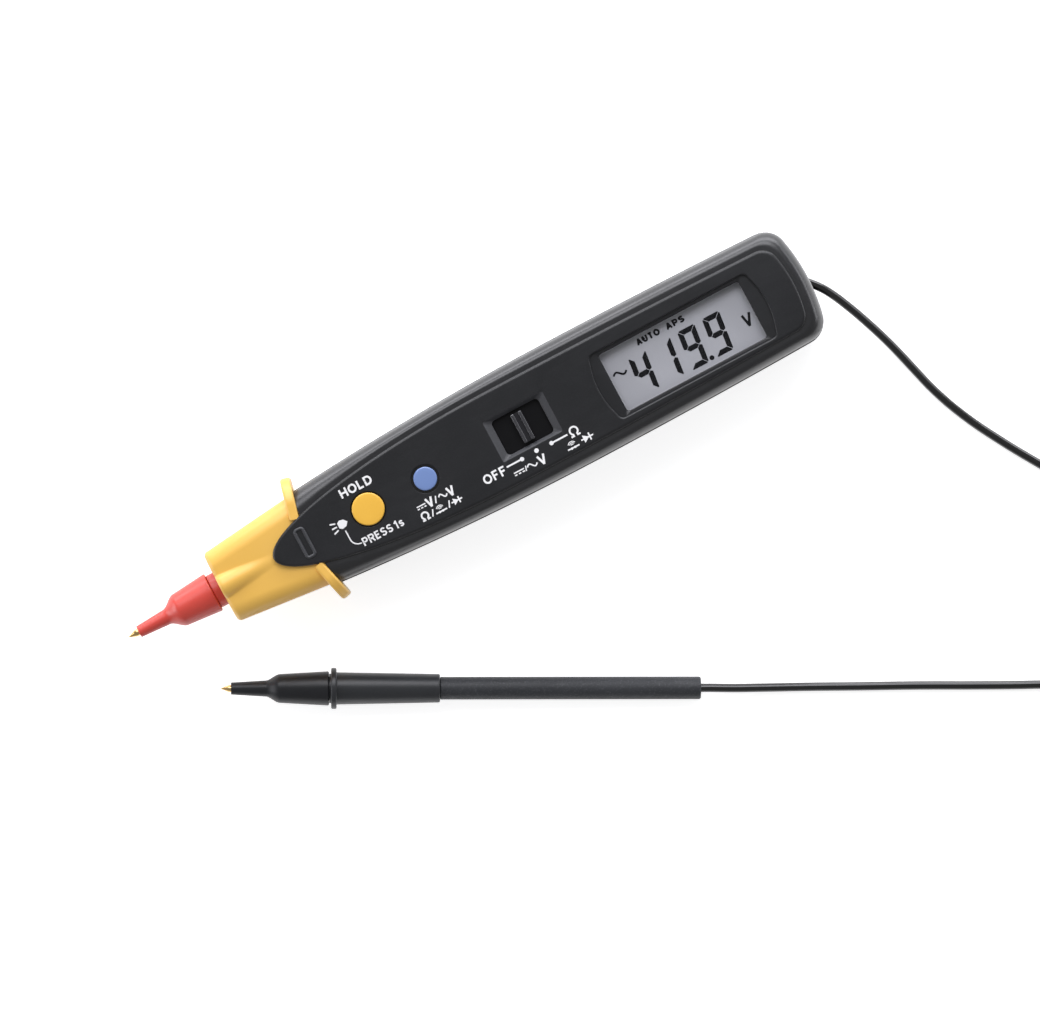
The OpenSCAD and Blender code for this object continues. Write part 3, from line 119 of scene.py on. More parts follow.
def bulged_rect(length: float, width: float, radius: float, bulge: float, at: Flat) -> list[Flat]:
    """A closed rectangle whose short ends bulge, anticlockwise.

    Args:
        length: Its size along X, at the bulges.
        width: Its size along Y.
        radius: The radius of its corners.
        bulge: How far each end bulges.
        at: Its middle.

    Returns:
        The points of the outline.
    """
    cx, cy = length / 2 - bulge - radius, width / 2 - radius
    quarter = [(length / 2 - bulge * (i / 8) ** 2, cy * i / 8) for i in range(8)]
    quarter += [(cx + p[0], cy + p[1]) for p in (polar(radius, 90 * i / 10) for i in range(11))]
    half = quarter + [(-x, y) for x, y in reversed(quarter)]
    outline = half + [(x, -y) for x, y in half[-2:0:-1]]
    return [(at[0] + x, at[1] + y) for x, y in outline]


def filleted(profile: Sequence[Spot], steps: int = 5) -> list[Flat]:
    """Rounds the corners of a turned profile.

    Args:
        profile: Station, radius and rounding of each corner in turn; a rounding of 0 keeps the corner.
        steps: How many steps each rounding is drawn in.

    Returns:
        Station and radius of each point of the rounded profile.
    """
    most = 0.45  # How much of an edge one rounding may take
    drawn: list[Flat] = []
    for i, (station, radius, size) in enumerate(profile):
        if size <= 0 or i in (0, len(profile) - 1):
            drawn.append((station, radius))
            continue
        here = Vector((station, radius))
        back, ahead = Vector(profile[i - 1][:2]) - here, Vector(profile[i + 1][:2]) - here
        reach = min(size, most * back.length, most * ahead.length)
        start, end = here + back.normalized() * reach, here + ahead.normalized() * reach
        for k in range(steps + 1):
            t = k / steps
            drawn.append(tuple((1 - t) ** 2 * start + 2 * t * (1 - t) * here + t * t * end))
    return drawn


def arc(steps: int, end: float = 90.0) -> list[Flat]:
    """The cosine and sine of evenly spaced angles, from 0 to an end in degrees."""
    return [polar(1, end * i / steps) for i in range(steps + 1)]


def bow(x: float, y: float, wide: float, tall: float, start: float, end: float,
        steps: int = 12) -> list[Flat]:
    """Part of an oval.

    Args:
        x: The oval's middle, along the first direction.
        y: Its middle, along the second one.
        wide: Half its width.
        tall: Half its height.
        start: The angle that the part starts at, in degrees.
        end: The angle that it ends at.
        steps: How many steps it is drawn in.

    Returns:
        The points of the line.
    """
    turns = [mixed(start, end, i / steps) for i in range(steps + 1)]
    return [(x + wide * p[0], y + tall * p[1]) for p in (polar(1, a) for a in turns)]


def grown(size: Flat, margin: float) -> Flat:
    """A length and width with a margin added all round."""
    return size[0] + 2 * margin, size[1] + 2 * margin


def level(outline: Sequence[Flat], z: float) -> list[Spot]:
    """An outline at one height."""
    return [(x, y, z) for x, y in outline]


# Finishes


class Wiring:
    """Adds nodes to a node tree and joins them."""

    def __init__(self, tree: bpy.types.NodeTree) -> None:
        """Takes the tree and empties it."""
        self.tree = tree
        tree.nodes.clear()

    def add(self, kind: str, inputs: Mapping[Any, Any] | None = None, **settings: Any) -> bpy.types.Node:
        """Adds one node.

        Args:
            kind: Blender's name of the node type.
            inputs: Values or sockets for its inputs, by name or place.
            **settings: Properties of the node.

        Returns:
            The new node.
        """
        node = self.tree.nodes.new(kind)
        for key, value in settings.items():
            setattr(node, key, value)
        for key, value in (inputs or {}).items():
            if isinstance(value, bpy.types.NodeSocket):
                self.tree.links.new(value, node.inputs[key])
            else:
                node.inputs[key].default_value = value
        return node

    def figure(self, operation: str, a: Any, b: Any) -> bpy.types.NodeSocket:
        """The result of one sum of two numbers or sockets."""
        return self.add("ShaderNodeMath", {0: a, 1: b}, operation=operation).outputs[0]

    def spread(self, value: Any, low: float, high: float) -> bpy.types.NodeSocket:
        """A number's share of the way from low to high, from 0 to 1."""
        ends = {"Value": value, "From Min": low, "From Max": high}
        return self.add("ShaderNodeMapRange", ends).outputs["Result"]

    def mixed(self, share: Any, a: Any, b: Any) -> bpy.types.NodeSocket:
        """The colour that lies a share of the way from a to b."""
        return self.add("ShaderNodeMix", {0: share, 6: a, 7: b}, data_type="RGBA").outputs[2]

    def place(self) -> bpy.types.NodeSocket:
        """The place on the part that is being shaded, in metres."""
        return self.add("ShaderNodeTexCoord").outputs["Object"]

    def noise(self, place: Any, scale: Any, detail: float, roughness: float = 0.5) -> bpy.types.NodeSocket:
        """Cloudy noise, from 0 to 1."""
        cloud = {"Vector": place, "Scale": scale, "Detail": detail, "Roughness": roughness}
        return self.add("ShaderNodeTexNoise", cloud).outputs["Fac"]


def new_group(name: str, inputs: Mapping[str, float],
              outputs: Mapping[str, str]) -> tuple[bpy.types.NodeTree, Wiring]:
    """Starts a shader node group with named sockets.

    Args:
        name: The group's name.
        inputs: The name and default of each number that goes in.
        outputs: The name and socket type of each result.

    Returns:
        The group and the wiring to fill it with.
    """
    group = bpy.data.node_groups.new(name, "ShaderNodeTree")
    for label, value in inputs.items():
        socket = group.interface.new_socket(label, in_out="INPUT", socket_type="NodeSocketFloat")
        socket.default_value = value
    for label, kind in outputs.items():
        group.interface.new_socket(label, in_out="OUTPUT", socket_type=kind)
    return group, Wiring(group)


def moulded_grain() -> bpy.types.NodeTree:
    """The fine eroded grain of a moulding tool, as a normal, and as a mask of its tops, which the finishes
    paint lighter as a highlight.

    Returns:
        The node group.
    """
    group, wiring = new_group("moulded_grain", {"Scale": 4000.0, "Depth": 0.00001},
                              {"Normal": "NodeSocketVector", "Grain highlight": "NodeSocketFloat"})
    given, place = wiring.add("NodeGroupInput").outputs, wiring.place()
    grain = wiring.noise(place, given["Scale"], 4.0, 0.62)
    cells = wiring.add("ShaderNodeTexVoronoi", {"Vector": place, "Scale": given["Scale"]},
                       feature="SMOOTH_F1")
    height = wiring.figure("ADD", grain, cells.outputs["Distance"])
    bump = wiring.add("ShaderNodeBump", {"Strength": 1.0, "Distance": given["Depth"], "Height": height})
    grain_highlight = wiring.spread(grain, 0.52, 0.72)
    wiring.add("NodeGroupOutput", {"Normal": bump.outputs["Normal"], "Grain highlight": grain_highlight})
    return group


def handling_marks() -> bpy.types.NodeTree:
    """Faint wiped streaks and finger marks, as a mask that dulls or polishes a surface.

    Returns:
        The node group.
    """
    group, wiring = new_group("handling_marks", {"Scale": 220.0, "Amount": 1.0}, {"Marks": "NodeSocketFloat"})
    given, place = wiring.add("NodeGroupInput").outputs, wiring.place()
    wiped = wiring.add("ShaderNodeMapping", {"Vector": place, "Rotation": (0.0, 0.0, 0.5),
                                             "Scale": (1.0, 5.0, 5.0)})
    streaks = wiring.noise(wiped.outputs[0], given["Scale"], 5.0, 0.55)
    smears = wiring.noise(place, 60.0, 2.0)
    shown = wiring.spread(wiring.figure("MULTIPLY", streaks, smears), 0.16, 0.36)
    wiring.add("NodeGroupOutput", {"Marks": wiring.figure("MULTIPLY", shown, given["Amount"])})
    return group


def resin_drift() -> bpy.types.NodeTree:
    """The slow drift of colour through a moulding, as a mask.

    Returns:
        The node group.
    """
    group, wiring = new_group("resin_drift", {"Scale": 45.0}, {"Drift": "NodeSocketFloat"})
    given = wiring.add("NodeGroupInput").outputs
    cloud = wiring.noise(wiring.place(), given["Scale"], 3.0)
    wiring.add("NodeGroupOutput", {"Drift": wiring.spread(cloud, 0.35, 0.65)})
    return group


class Surface(Enum):
    """What a finish is made of."""

    MOULDED = "moulded plastic or rubber"
    METAL = "bare or plated metal"
    CLEAR = "clear plastic"


GROUPS: dict[str, bpy.types.NodeTree] = {}
MADE: dict[str, bpy.types.Material] = {}

GRAIN_HIGHLIGHT_LIFT = 46  # How much lighter the tops of the grain are painted, as a highlight, out of 255
GAP_SHADE_FADE = 0.0008  # Metres over which the shade painted into a gap fades in
# The colour of the shade painted into a gap
GAP_SHADE_COLOUR = (0.006, 0.006, 0.007, 1.0)


def shared(build: Callable[[], bpy.types.NodeTree]) -> bpy.types.NodeTree:
    """The shader node group that a function builds, built once.

    Args:
        build: The function.

    Returns:
        The node group.
    """
    if build.__name__ not in GROUPS:
        GROUPS[build.__name__] = build()
    return GROUPS[build.__name__]


def linear(colour: Sequence[int]) -> tuple[float, float, float, float]:
    """A colour as it looks on screen, from 0 to 255, in the shader's own terms."""
    values = [c / 255 for c in colour]
    return (*(v / 12.92 if v <= 0.04045 else ((v + 0.055) / 1.055) ** 2.4 for v in values), 1.0)


@dataclass(frozen=True)
class Finish:
    """A procedural finish.

    Attributes:
        name: What the finish is called.
        colour: Its main colour.
        shade: The colour that it drifts towards.
        gloss: Its roughness where it is clean, and where it has been handled.
        grain: How many grains there are to a metre, and how deep they are in metres.
        slot: The record's material slot that it stands for, where that isn't its name.
        surface: What it is made of.
        grain_highlight: How strongly the tops of the grain are painted lighter, as a highlight where they
            would catch the light.
        alpha: How much of it covers what lies behind.
        coat: Weight of a smooth clear coat.
        specular: Specular level.
        gap_shade_z: Height in metres below which shade is painted into its colour, for the dark of its gap,
            or 0.
    """

    name: str
    colour: Colour
    shade: Colour
    gloss: tuple[float, float]
    grain: tuple[float, float] = (4200.0, 0.000006)
    slot: str = ""
    surface: Surface = Surface.MOULDED
    grain_highlight: float = 0.0
    alpha: float = 1.0
    coat: float = 0.0
    specular: float = 0.5
    gap_shade_z: float = 0.0

    def material(self) -> bpy.types.Material:
        """The finish as a material, made once.

        Returns:
            The material.
        """
        if self.name in MADE:
            return MADE[self.name]
        made = bpy.data.materials.new(self.name)
        made.use_nodes = True
        wiring = Wiring(made.node_tree)
        drift = wiring.add("ShaderNodeGroup", {"Scale": 45.0}, node_tree=shared(resin_drift))
        grain = wiring.add("ShaderNodeGroup", {"Scale": self.grain[0], "Depth": self.grain[1]},
                           node_tree=shared(moulded_grain))
        marks = wiring.add("ShaderNodeGroup", node_tree=shared(handling_marks))
        colour = wiring.mixed(drift.outputs["Drift"], linear(self.colour), linear(self.shade))
        # Painted highlight: the tops of the grain are painted lighter
        lit = wiring.figure("MULTIPLY", grain.outputs["Grain highlight"], self.grain_highlight)
        colour = wiring.mixed(lit, colour, linear([min(255, c + GRAIN_HIGHLIGHT_LIFT) for c in self.colour]))
        # Painted shade: below the given height the colour turns dark, for the shade in the gap round a key or
        # the knob
        if self.gap_shade_z:
            height = wiring.add("ShaderNodeSeparateXYZ", {0: wiring.place()}).outputs["Z"]
            colour = wiring.mixed(wiring.spread(height, self.gap_shade_z, self.gap_shade_z - GAP_SHADE_FADE), colour, GAP_SHADE_COLOUR)
        gloss = wiring.add("ShaderNodeMapRange", {"Value": marks.outputs["Marks"], "To Min": self.gloss[0],
                                                  "To Max": self.gloss[1]})
        shader = wiring.add("ShaderNodeBsdfPrincipled", {
            "Base Color": colour, "Roughness": gloss.outputs["Result"], "Normal": grain.outputs["Normal"],
            "Alpha": self.alpha, "Coat Weight": self.coat, "Coat Roughness": 0.08,
            "Specular IOR Level": self.specular, "Metallic": 1.0 if self.surface is Surface.METAL else 0.0})
        if self.surface is Surface.CLEAR:
            made.surface_render_method = "BLENDED"
        wiring.add("ShaderNodeOutputMaterial", {"Surface": shader.outputs[0]})
        MADE[self.name] = made
        return made


SHELL = Finish("black_shell", (20, 21, 24), (24, 25, 28), (0.28, 0.34), (5200.0, 0.000006), grain_highlight=0.25,
               specular=0.76)
PANEL = Finish("black_panel", (20, 21, 24), (24, 25, 28), (0.32, 0.38), (5200.0, 0.000006),
               slot="black_shell", grain_highlight=0.25)
# Painted light: a lighter copy of the panel's black, for the switch recess's sloping sides and the small
# frame, standing in for the light that they catch
PAINTED_LIGHT_BLACK = Finish("black_painted_light", (46, 47, 51), (51, 52, 56), (0.42, 0.5), (5200.0, 0.000006),
                slot="black_shell", grain_highlight=0.25, specular=0.6)
YELLOW = Finish("yellow_guard", (239, 189, 88), (237, 186, 82), (0.36, 0.44), (3800.0, 0.000004),
                specular=0.75)
RED = Finish("red_plastic", (214, 73, 61), (208, 66, 55), (0.34, 0.42), (3800.0, 0.000003), specular=0.7)
GOLD = Finish("gold_plate", (222, 186, 120), (232, 200, 142), (0.16, 0.26), (2600.0, 0.000002),
              surface=Surface.METAL)
PANE = Finish("clear_pane", (84, 86, 90), (78, 80, 84), (0.05, 0.12), (900.0, 0.0000005),
              surface=Surface.CLEAR, alpha=0.05, specular=0.2)
LCD = Finish("lcd", (176, 177, 183), (181, 182, 188), (0.6, 0.66), (7000.0, 0.000002), grain_highlight=0.2,
             specular=0.3)
INK = Finish("lcd_segments", (9, 9, 11), (12, 12, 14), (0.6, 0.7), slot="lcd", specular=0.05)
# Painted highlight: a pale ring on the glass for the light caught by the edge of the display's window opening
PAINTED_EDGE_HIGHLIGHT = Finish("lcd_edge_highlight", (196, 197, 202), (188, 189, 195), (0.5, 0.6), slot="lcd", specular=0.3)
LAMP = Finish("lamp", (236, 240, 248), (224, 230, 240), (0.04, 0.1), (700.0, 0.0000005),
              surface=Surface.CLEAR, alpha=0.55, coat=0.6)
TINNED = Finish("tinned", (198, 198, 200), (186, 186, 188), (0.26, 0.36), surface=Surface.METAL)
WHITE = Finish("white_plastic", (226, 226, 222), (218, 218, 212), (0.45, 0.55))
PRINT = Finish("panel_print", (240, 240, 240), (232, 232, 233), (0.5, 0.6), (6000.0, 0.000002),
               slot="white_plastic")
PINK = Finish("pink_rubber", (214, 166, 160), (200, 140, 134), (0.55, 0.65), (2600.0, 0.00001))
BOARD = Finish("circuit_board", (30, 104, 62), (24, 84, 50), (0.3, 0.4), (1500.0, 0.00002), coat=0.3)
CHIP = Finish("chip_black", (34, 34, 36), (42, 42, 44), (0.5, 0.6), (6000.0, 0.00001), grain_highlight=0.3)
RESISTOR = Finish("resistor_body", (196, 176, 134), (184, 160, 116), (0.3, 0.4), (1800.0, 0.00001))
# The keys and the knob have shade painted into their colour below the panel's top, where they sit in their
# gaps
YELLOW_KEY = Finish("yellow_key", (240, 188, 70), (236, 182, 64), (0.34, 0.42), (3600.0, 0.000004), coat=0.3,
                    gap_shade_z=0.0256)
BLUE_KEY = Finish("blue_key", (114, 140, 192), (108, 133, 187), (0.3, 0.36), (3600.0, 0.000004), coat=0.7,
                  gap_shade_z=0.0256)
TIN_COVER = Finish("switch_body", (190, 190, 192), (176, 176, 178), (0.3, 0.42), surface=Surface.METAL)
PLUNGER = Finish("plunger_black", (40, 40, 42), (48, 48, 50), (0.45, 0.55))
KNOB = Finish("knob_black", (40, 40, 43), (44, 44, 47), (0.3, 0.38), (4600.0, 0.000003), grain_highlight=0.1,
              specular=0.16, gap_shade_z=0.0253)
RIDGE = Finish("knob_ridge", (44, 44, 48), (48, 48, 52), (0.16, 0.22), (4600.0, 0.000003), slot="knob_black",
               specular=0.9, gap_shade_z=0.0253)
BRASS = Finish("spring_brass", (206, 178, 112), (196, 164, 96), (0.24, 0.36), surface=Surface.METAL)
CAN = Finish("cell_can", (200, 200, 202), (186, 186, 190), (0.22, 0.34), surface=Surface.METAL)
STEEL = Finish("steel_screw", (170, 170, 172), (150, 150, 153), (0.28, 0.42), surface=Surface.METAL)
SHEATH = Finish("cord_sheath", (8, 8, 9), (11, 11, 12), (0.14, 0.2), (3000.0, 0.000003), coat=0.4,
                specular=0.6)
RUBBER = Finish("grommet_black", (26, 26, 28), (32, 32, 34), (0.5, 0.62), (3600.0, 0.000008))
PROBE = Finish("probe_black", (38, 40, 43), (43, 45, 48), (0.36, 0.44), (4200.0, 0.000004), grain_highlight=0.15)
PROBE_GRAIN = Finish("probe_grain", (42, 44, 48), (49, 51, 55), (0.5, 0.6), (2300.0, 0.00003), grain_highlight=0.5)
PROBE_CAP = Finish("cap_black", (30, 31, 34), (34, 36, 39), (0.34, 0.42), (4200.0, 0.000004), grain_highlight=0.1,
                   specular=0.35)


class Body(Enum):
    """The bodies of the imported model."""

    METER = "meter"
    HOLD_KEY = "hold_key"
    SELECT_KEY = "select_key"
    SLIDE_SWITCH = "slide_switch"
    TIP_CAP = "tip_cap"
    PROBE_CAP = "probe_cap"


# Making pieces


def placed(name: str, data: bpy.types.ID) -> bpy.types.Object:
    """A new object in the scene, for a mesh, a curve, a lamp or a camera."""
    made = bpy.data.objects.new(name, data)
    bpy.context.scene.collection.objects.link(made)
    return made


def bake(piece: bpy.types.Object) -> None:
    """Turns a piece's modifiers into its plain mesh.

    Args:
        piece: The piece.
    """
    graph = bpy.context.evaluated_depsgraph_get()
    mesh = bpy.data.meshes.new_from_object(piece.evaluated_get(graph), preserve_all_data_layers=True,
                                           depsgraph=graph)
    piece.modifiers.clear()
    piece.data = mesh


def settle(piece: bpy.types.Object, sharp: float = SHARP) -> bpy.types.Object:
    """Shades a piece smooth, keeps its sharp edges and keeps its large faces flat.

    Args:
        piece: The piece.
        sharp: The angle past which an edge stays sharp.

    Returns:
        The same piece.
    """
    piece.data.shade_smooth()
    piece.data.set_sharp_from_angle(angle=math.radians(sharp))
    flats = piece.modifiers.new("flat faces", "WEIGHTED_NORMAL")
    flats.keep_sharp = True
    flats.weight = 90  # Out of 100, towards the larger faces
    bake(piece)
    return piece


def piece_of(name: str, mesh: bmesh.types.BMesh, finish: Finish, sharp: float = SHARP) -> bpy.types.Object:
    """Makes a piece of a drawn mesh, with its doubles merged and its faces outward.

    Args:
        name: The piece's name.
        mesh: The drawn mesh, in metres, which is freed.
        finish: What it is finished in.
        sharp: The angle past which an edge stays sharp.

    Returns:
        The new piece.
    """
    bmesh.ops.remove_doubles(mesh, verts=mesh.verts, dist=MERGE)
    bmesh.ops.recalc_face_normals(mesh, faces=mesh.faces)
    data = bpy.data.meshes.new(name)
    mesh.to_mesh(data)
    mesh.free()
    data.materials.append(finish.material())
    return settle(placed(name, data), sharp)


def add_skin(mesh: bmesh.types.BMesh, rings: Sequence[Ring], cyclic: bool = False) -> None:
    """Draws a closed skin through closed rings of equal numbers of points.

    Args:
        mesh: The mesh that it is drawn in.
        rings: The rings, in millimetres.
        cyclic: Whether the last ring joins the first, instead of both being closed.
    """
    rows = [[mesh.verts.new((p[0] * MM, p[1] * MM, p[2] * MM)) for p in ring] for ring in rings]
    count = len(rows[0])
    for j in range(len(rows) if cyclic else len(rows) - 1):
        low, high = rows[j], rows[(j + 1) % len(rows)]
        for i in range(count):
            k = (i + 1) % count
            mesh.faces.new((low[i], low[k], high[k], high[i]))
    if not cyclic:
        mesh.faces.new(rows[0])
        mesh.faces.new(rows[-1])


def loft(name: str, rings: Sequence[Ring], finish: Finish, cyclic: bool = False,
         sharp: float = SHARP) -> bpy.types.Object:
    """Makes a piece of one skin.

    Args:
        name: The piece's name.
        rings: The rings of its skin, in millimetres.
        finish: What it is finished in.
        cyclic: Whether the last ring joins the first, instead of both being closed.
        sharp: The angle past which an edge stays sharp.

    Returns:
        The new piece.
    """
    mesh = bmesh.new()
    add_skin(mesh, rings, cyclic)
    return piece_of(name, mesh, finish, sharp)


@dataclass(frozen=True)
class Axis:
    """A line that round parts are turned about.

    Attributes:
        origin: Where its stations are counted from.
        heading: Its unit direction.
    """

    origin: Spot
    heading: Spot

    def ring(self, station: float, radius: float, sides: int) -> list[Vector]:
        """The closed ring of a turned part at one station.

        Args:
            station: How far along the axis it lies.
            radius: Its radius.
            sides: How many sides it has.

        Returns:
            The points of the ring.
        """
        ahead = Vector(self.heading)
        across = ahead.cross(Vector((0, 0, 1))).normalized()
        up = across.cross(ahead)
        middle = Vector(self.origin) + station * ahead
        return [middle + x * across + y * up for x, y in circle(0, 0, radius, sides)]

    def turned(self, name: str, profile: Sequence[Flat], finish: Finish, hollow: bool = False,
               sides: int = 72) -> bpy.types.Object:
        """Makes a turned piece.

        Args:
            name: The piece's name.
            profile: Station and radius of each point, from one end to the other.
            finish: What it is finished in.
            hollow: Whether the profile is closed round a bore, instead of ending on the axis.
            sides: How many sides it has.

        Returns:
            The new piece.
        """
        return loft(name, [self.ring(s, max(r, 0.0), sides) for s, r in profile], finish, hollow)


def plate(name: str, loops: Sequence[tuple[Shape, Sequence[Flat]]], finish: Finish) -> bpy.types.Object:
    """Makes a flat plate whose outline and holes each have their own edge section.

    Args:
        name: The piece's name.
        loops: The outline and then the holes, each with the inset and height of its section from below up.
        finish: What it is finished in.

    Returns:
        The new piece.
    """
    mesh = bmesh.new()
    ends: tuple[list[Any], list[Any]] = ([], [])
    for shape, section in loops:
        rows = [[mesh.verts.new((x * MM, y * MM, z * MM)) for x, y in shape(inset)] for inset, z in section]
        for low, high in zip(rows, rows[1:]):
            for i in range(len(low)):
                k = (i + 1) % len(low)
                mesh.faces.new((low[i], low[k], high[k], high[i]))
        for row, edges in ((rows[0], ends[0]), (rows[-1], ends[1])):
            edges += [mesh.edges.get((row[i], row[(i + 1) % len(row)])) for i in range(len(row))]
    for edges, up in zip(ends, (-1, 1)):
        bmesh.ops.triangle_fill(mesh, edges=edges, use_beauty=True, normal=(0, 0, up))
    return piece_of(name, mesh, finish, 50.0)


def carve(piece: bpy.types.Object, cutter: bpy.types.Object) -> None:
    """Cuts one shape out of a piece, and removes the cutter.

    Args:
        piece: The piece.
        cutter: The shape.
    """
    cut = piece.modifiers.new("cut", "BOOLEAN")
    cut.operation, cut.solver, cut.object = "DIFFERENCE", "EXACT", cutter
    bake(piece)
    bpy.data.objects.remove(cutter)
    settle(piece)


def merged_copy(node: str, name: str, finish: Finish, edge: float = 0.0) -> bpy.types.Object:
    """Makes a piece from a copy of a CAD node's mesh, with smooth shading over its curves.

    Args:
        node: The CAD node.
        name: The piece's name.
        finish: What it is finished in.
        edge: Width of the rounding on its sharp edges, in millimetres.

    Returns:
        The new piece.
    """
    sharp, rounded_from = 34.0, 40.0
    mesh = bmesh.new()
    mesh.from_mesh(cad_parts[node].data)
    bmesh.ops.remove_doubles(mesh, verts=mesh.verts, dist=CAD_MERGE)
    bmesh.ops.dissolve_degenerate(mesh, dist=CAD_MERGE, edges=mesh.edges)
    piece = piece_of(name, mesh, finish, sharp)
    if edge:
        rounding = piece.modifiers.new("edges", "BEVEL")
        rounding.width, rounding.segments, rounding.limit_method = edge * MM, 3, "ANGLE"
        rounding.angle_limit = math.radians(rounded_from)
        bake(piece)
        settle(piece, sharp)
    return piece


def fit(piece: bpy.types.Object, body: Body, finish: Finish, *nodes: str) -> None:
    """Hangs a piece on its body and hides the CAD nodes that it stands for.

    Args:
        piece: The piece.
        body: The body that it moves with.
        finish: Its finish.
        *nodes: The CAD nodes that it stands for.
    """
    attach(piece, body.value)
    finish.slot or finish.name
    if nodes:
        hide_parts(*nodes)
    log.info("%s rides on %s%s", piece.name, body.value, " for " + ", ".join(nodes) if nodes else "")


def dress(finish: Finish, *nodes: str) -> None:
    """Gives CAD nodes that stay in view a finish.

    Args:
        finish: The finish.
        *nodes: The nodes.
    """
    for node in nodes:
        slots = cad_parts[node].data.materials
        slots.clear()
        slots.append(finish.material())
        log.info("%s is dressed in %s", node, finish.name)


SNAKE = bow(0.5, 0.75, 0.48, 0.25, 22, 262) + bow(0.5, 0.25, 0.5, 0.25, 82, -158)

# The strokes of the letters that the pen carries, in a box of 1 by 1, each after its width as a share of its
# height. Ends that are cut square reach a little past the box, which the strokes' middle lines fill.
LETTERS: dict[str, tuple[float, list[list[Flat]]]] = {
    "A": (0.78, [[(0, -0.14), (0.52, 1.12)], [(0.48, 1.12), (1, -0.14)], [(0.2, 0.27), (0.8, 0.27)]]),
    "D": (0.74, [[(0, 0.5), (0, 1)] + bow(0.45, 0.5, 0.55, 0.5, 90, -90) + [(0, 0), (0, 0.55)]]),
    "E": (0.64, [[(1, 1), (0, 1), (0, 0), (1, 0)], [(0, 0.53), (0.9, 0.53)]]),
    "F": (0.62, [[(1, 1), (0, 1), (0, -0.12)], [(0, 0.5), (0.88, 0.5)]]),
    "H": (0.74, [[(0, -0.12), (0, 1.12)], [(1, -0.12), (1, 1.12)], [(0, 0.5), (1, 0.5)]]),
    "L": (0.6, [[(0, 1.12), (0, 0), (1, 0)]]),
    "O": (0.84, [bow(0.5, 0.5, 0.5, 0.5, 90, 455, 28)]),
    "P": (0.68, [[(0, -0.12), (0, 1)] + bow(0.68, 0.72, 0.32, 0.28, 90, -90) + [(0, 0.44)]]),
    "R": (0.72, [[(0, -0.12), (0, 1)] + bow(0.66, 0.73, 0.32, 0.27, 90, -90) + [(0, 0.46)],
                 [(0.6, 0.46), (1, -0.1)]]),
    "S": (0.68, [SNAKE]),
    "T": (0.68, [[(-0.08, 1), (1.08, 1)], [(0.5, 1), (0.5, -0.12)]]),
    "U": (0.72, [[(0, 1.12), (0, 0.35)] + bow(0.5, 0.35, 0.5, 0.35, 180, 360) + [(1, 1.12)]]),
    "V": (0.76, [[(0, 1.12), (0.52, -0.1)], [(0.48, -0.1), (1, 1.12)]]),
    "s": (0.56, [SNAKE]),
    "1": (0.46, [[(0.75, -0.12), (0.75, 1.12)], [(-0.15, 0.74), (0.6, 0.98)]]),
}


class PrintSheet:
    """Flat marks, gathered into one thin raised layer.

    Attributes:
        LIFT: How far the top of one mark stands above the last one's, in millimetres.
        LEVELS: After how many marks the tops start again from the lowest.
        SPACE: The width of a space, on the scale of the letters' widths.
        GAP: The gap between two letters, on the same scale.
        SMALL: The height of a small letter, where a capital's is 1.
    """

    LIFT = 0.0012
    LEVELS = 5
    SPACE = 0.05
    GAP = 0.12
    SMALL = 0.76

    def __init__(self, low: float, high: float) -> None:
        """Takes the heights between which the marks stand."""
        self.low, self.high = low, high
        self.marks = 0
        self.mesh = bmesh.new()

    def top(self) -> float:
        """The height of the next mark, a hair off the last ones, so that no two tops share a plane."""
        self.marks += 1
        return self.high + self.LIFT * (self.marks % self.LEVELS)

    def patch(self, outline: Sequence[Flat]) -> None:
        """Adds a filled outline."""
        add_skin(self.mesh, [level(outline, z) for z in (self.low, self.top())])

    def dot(self, at: Flat, radius: float) -> None:
        """Adds a round dot."""
        self.patch(circle(*at, radius, 28))

    def stroke(self, line: Sequence[Flat], width: float) -> None:
        """Adds a line of even width, with mitred corners and square ends.

        Args:
            line: The points that it follows.
            width: Its width.
        """
        spots, rings, top = [Vector(p) for p in line], [], self.top()
        ways = [(b - a).normalized() for a, b in zip(spots, spots[1:])]
        for spot, behind, ahead in zip(spots, ways[:1] + ways, ways + ways[-1:]):
            side = (ahead + behind).normalized().orthogonal()
            side *= width / 2 / max(side.dot(ahead.orthogonal()), 0.5)
            left, right = spot + side, spot - side
            rings.append([(*right, self.low), (*left, self.low), (*left, top), (*right, top)])
        add_skin(self.mesh, rings)

    def words(self, text: str, x: Flat, y: Flat, weight: float, lean: float = 0.0) -> None:
        """Adds plain drawn lettering that fills a box.

        Args:
            text: The letters.
            x: Where they start and end along X.
            y: Where they start and end across the pen.
            weight: The width of their strokes, as a share of their height.
            lean: How far they slant.
        """
        tall = y[1] - y[0]
        bold = weight * tall
        widths = [LETTERS[c][0] if c in LETTERS else self.SPACE for c in text]
        unit = (x[1] - x[0]) / (sum(widths) + self.GAP * (len(text) - 1))
        start = x[0]
        for c, width in zip(text, widths):
            high = tall * (self.SMALL if c.islower() else 1.0) - bold
            wide = width * unit - bold
            for line in LETTERS[c][1] if c in LETTERS else ():
                spots = [(start + bold / 2 + u * wide, y[0] + bold / 2 + v * high) for u, v in line]
                self.stroke([(px + lean * (py - y[0]), py) for px, py in spots], bold)
            start += (width + self.GAP) * unit

    def piece(self, name: str, finish: Finish) -> bpy.types.Object:
        """Makes one piece of all the marks."""
        return piece_of(name, self.mesh, finish, 30.0)


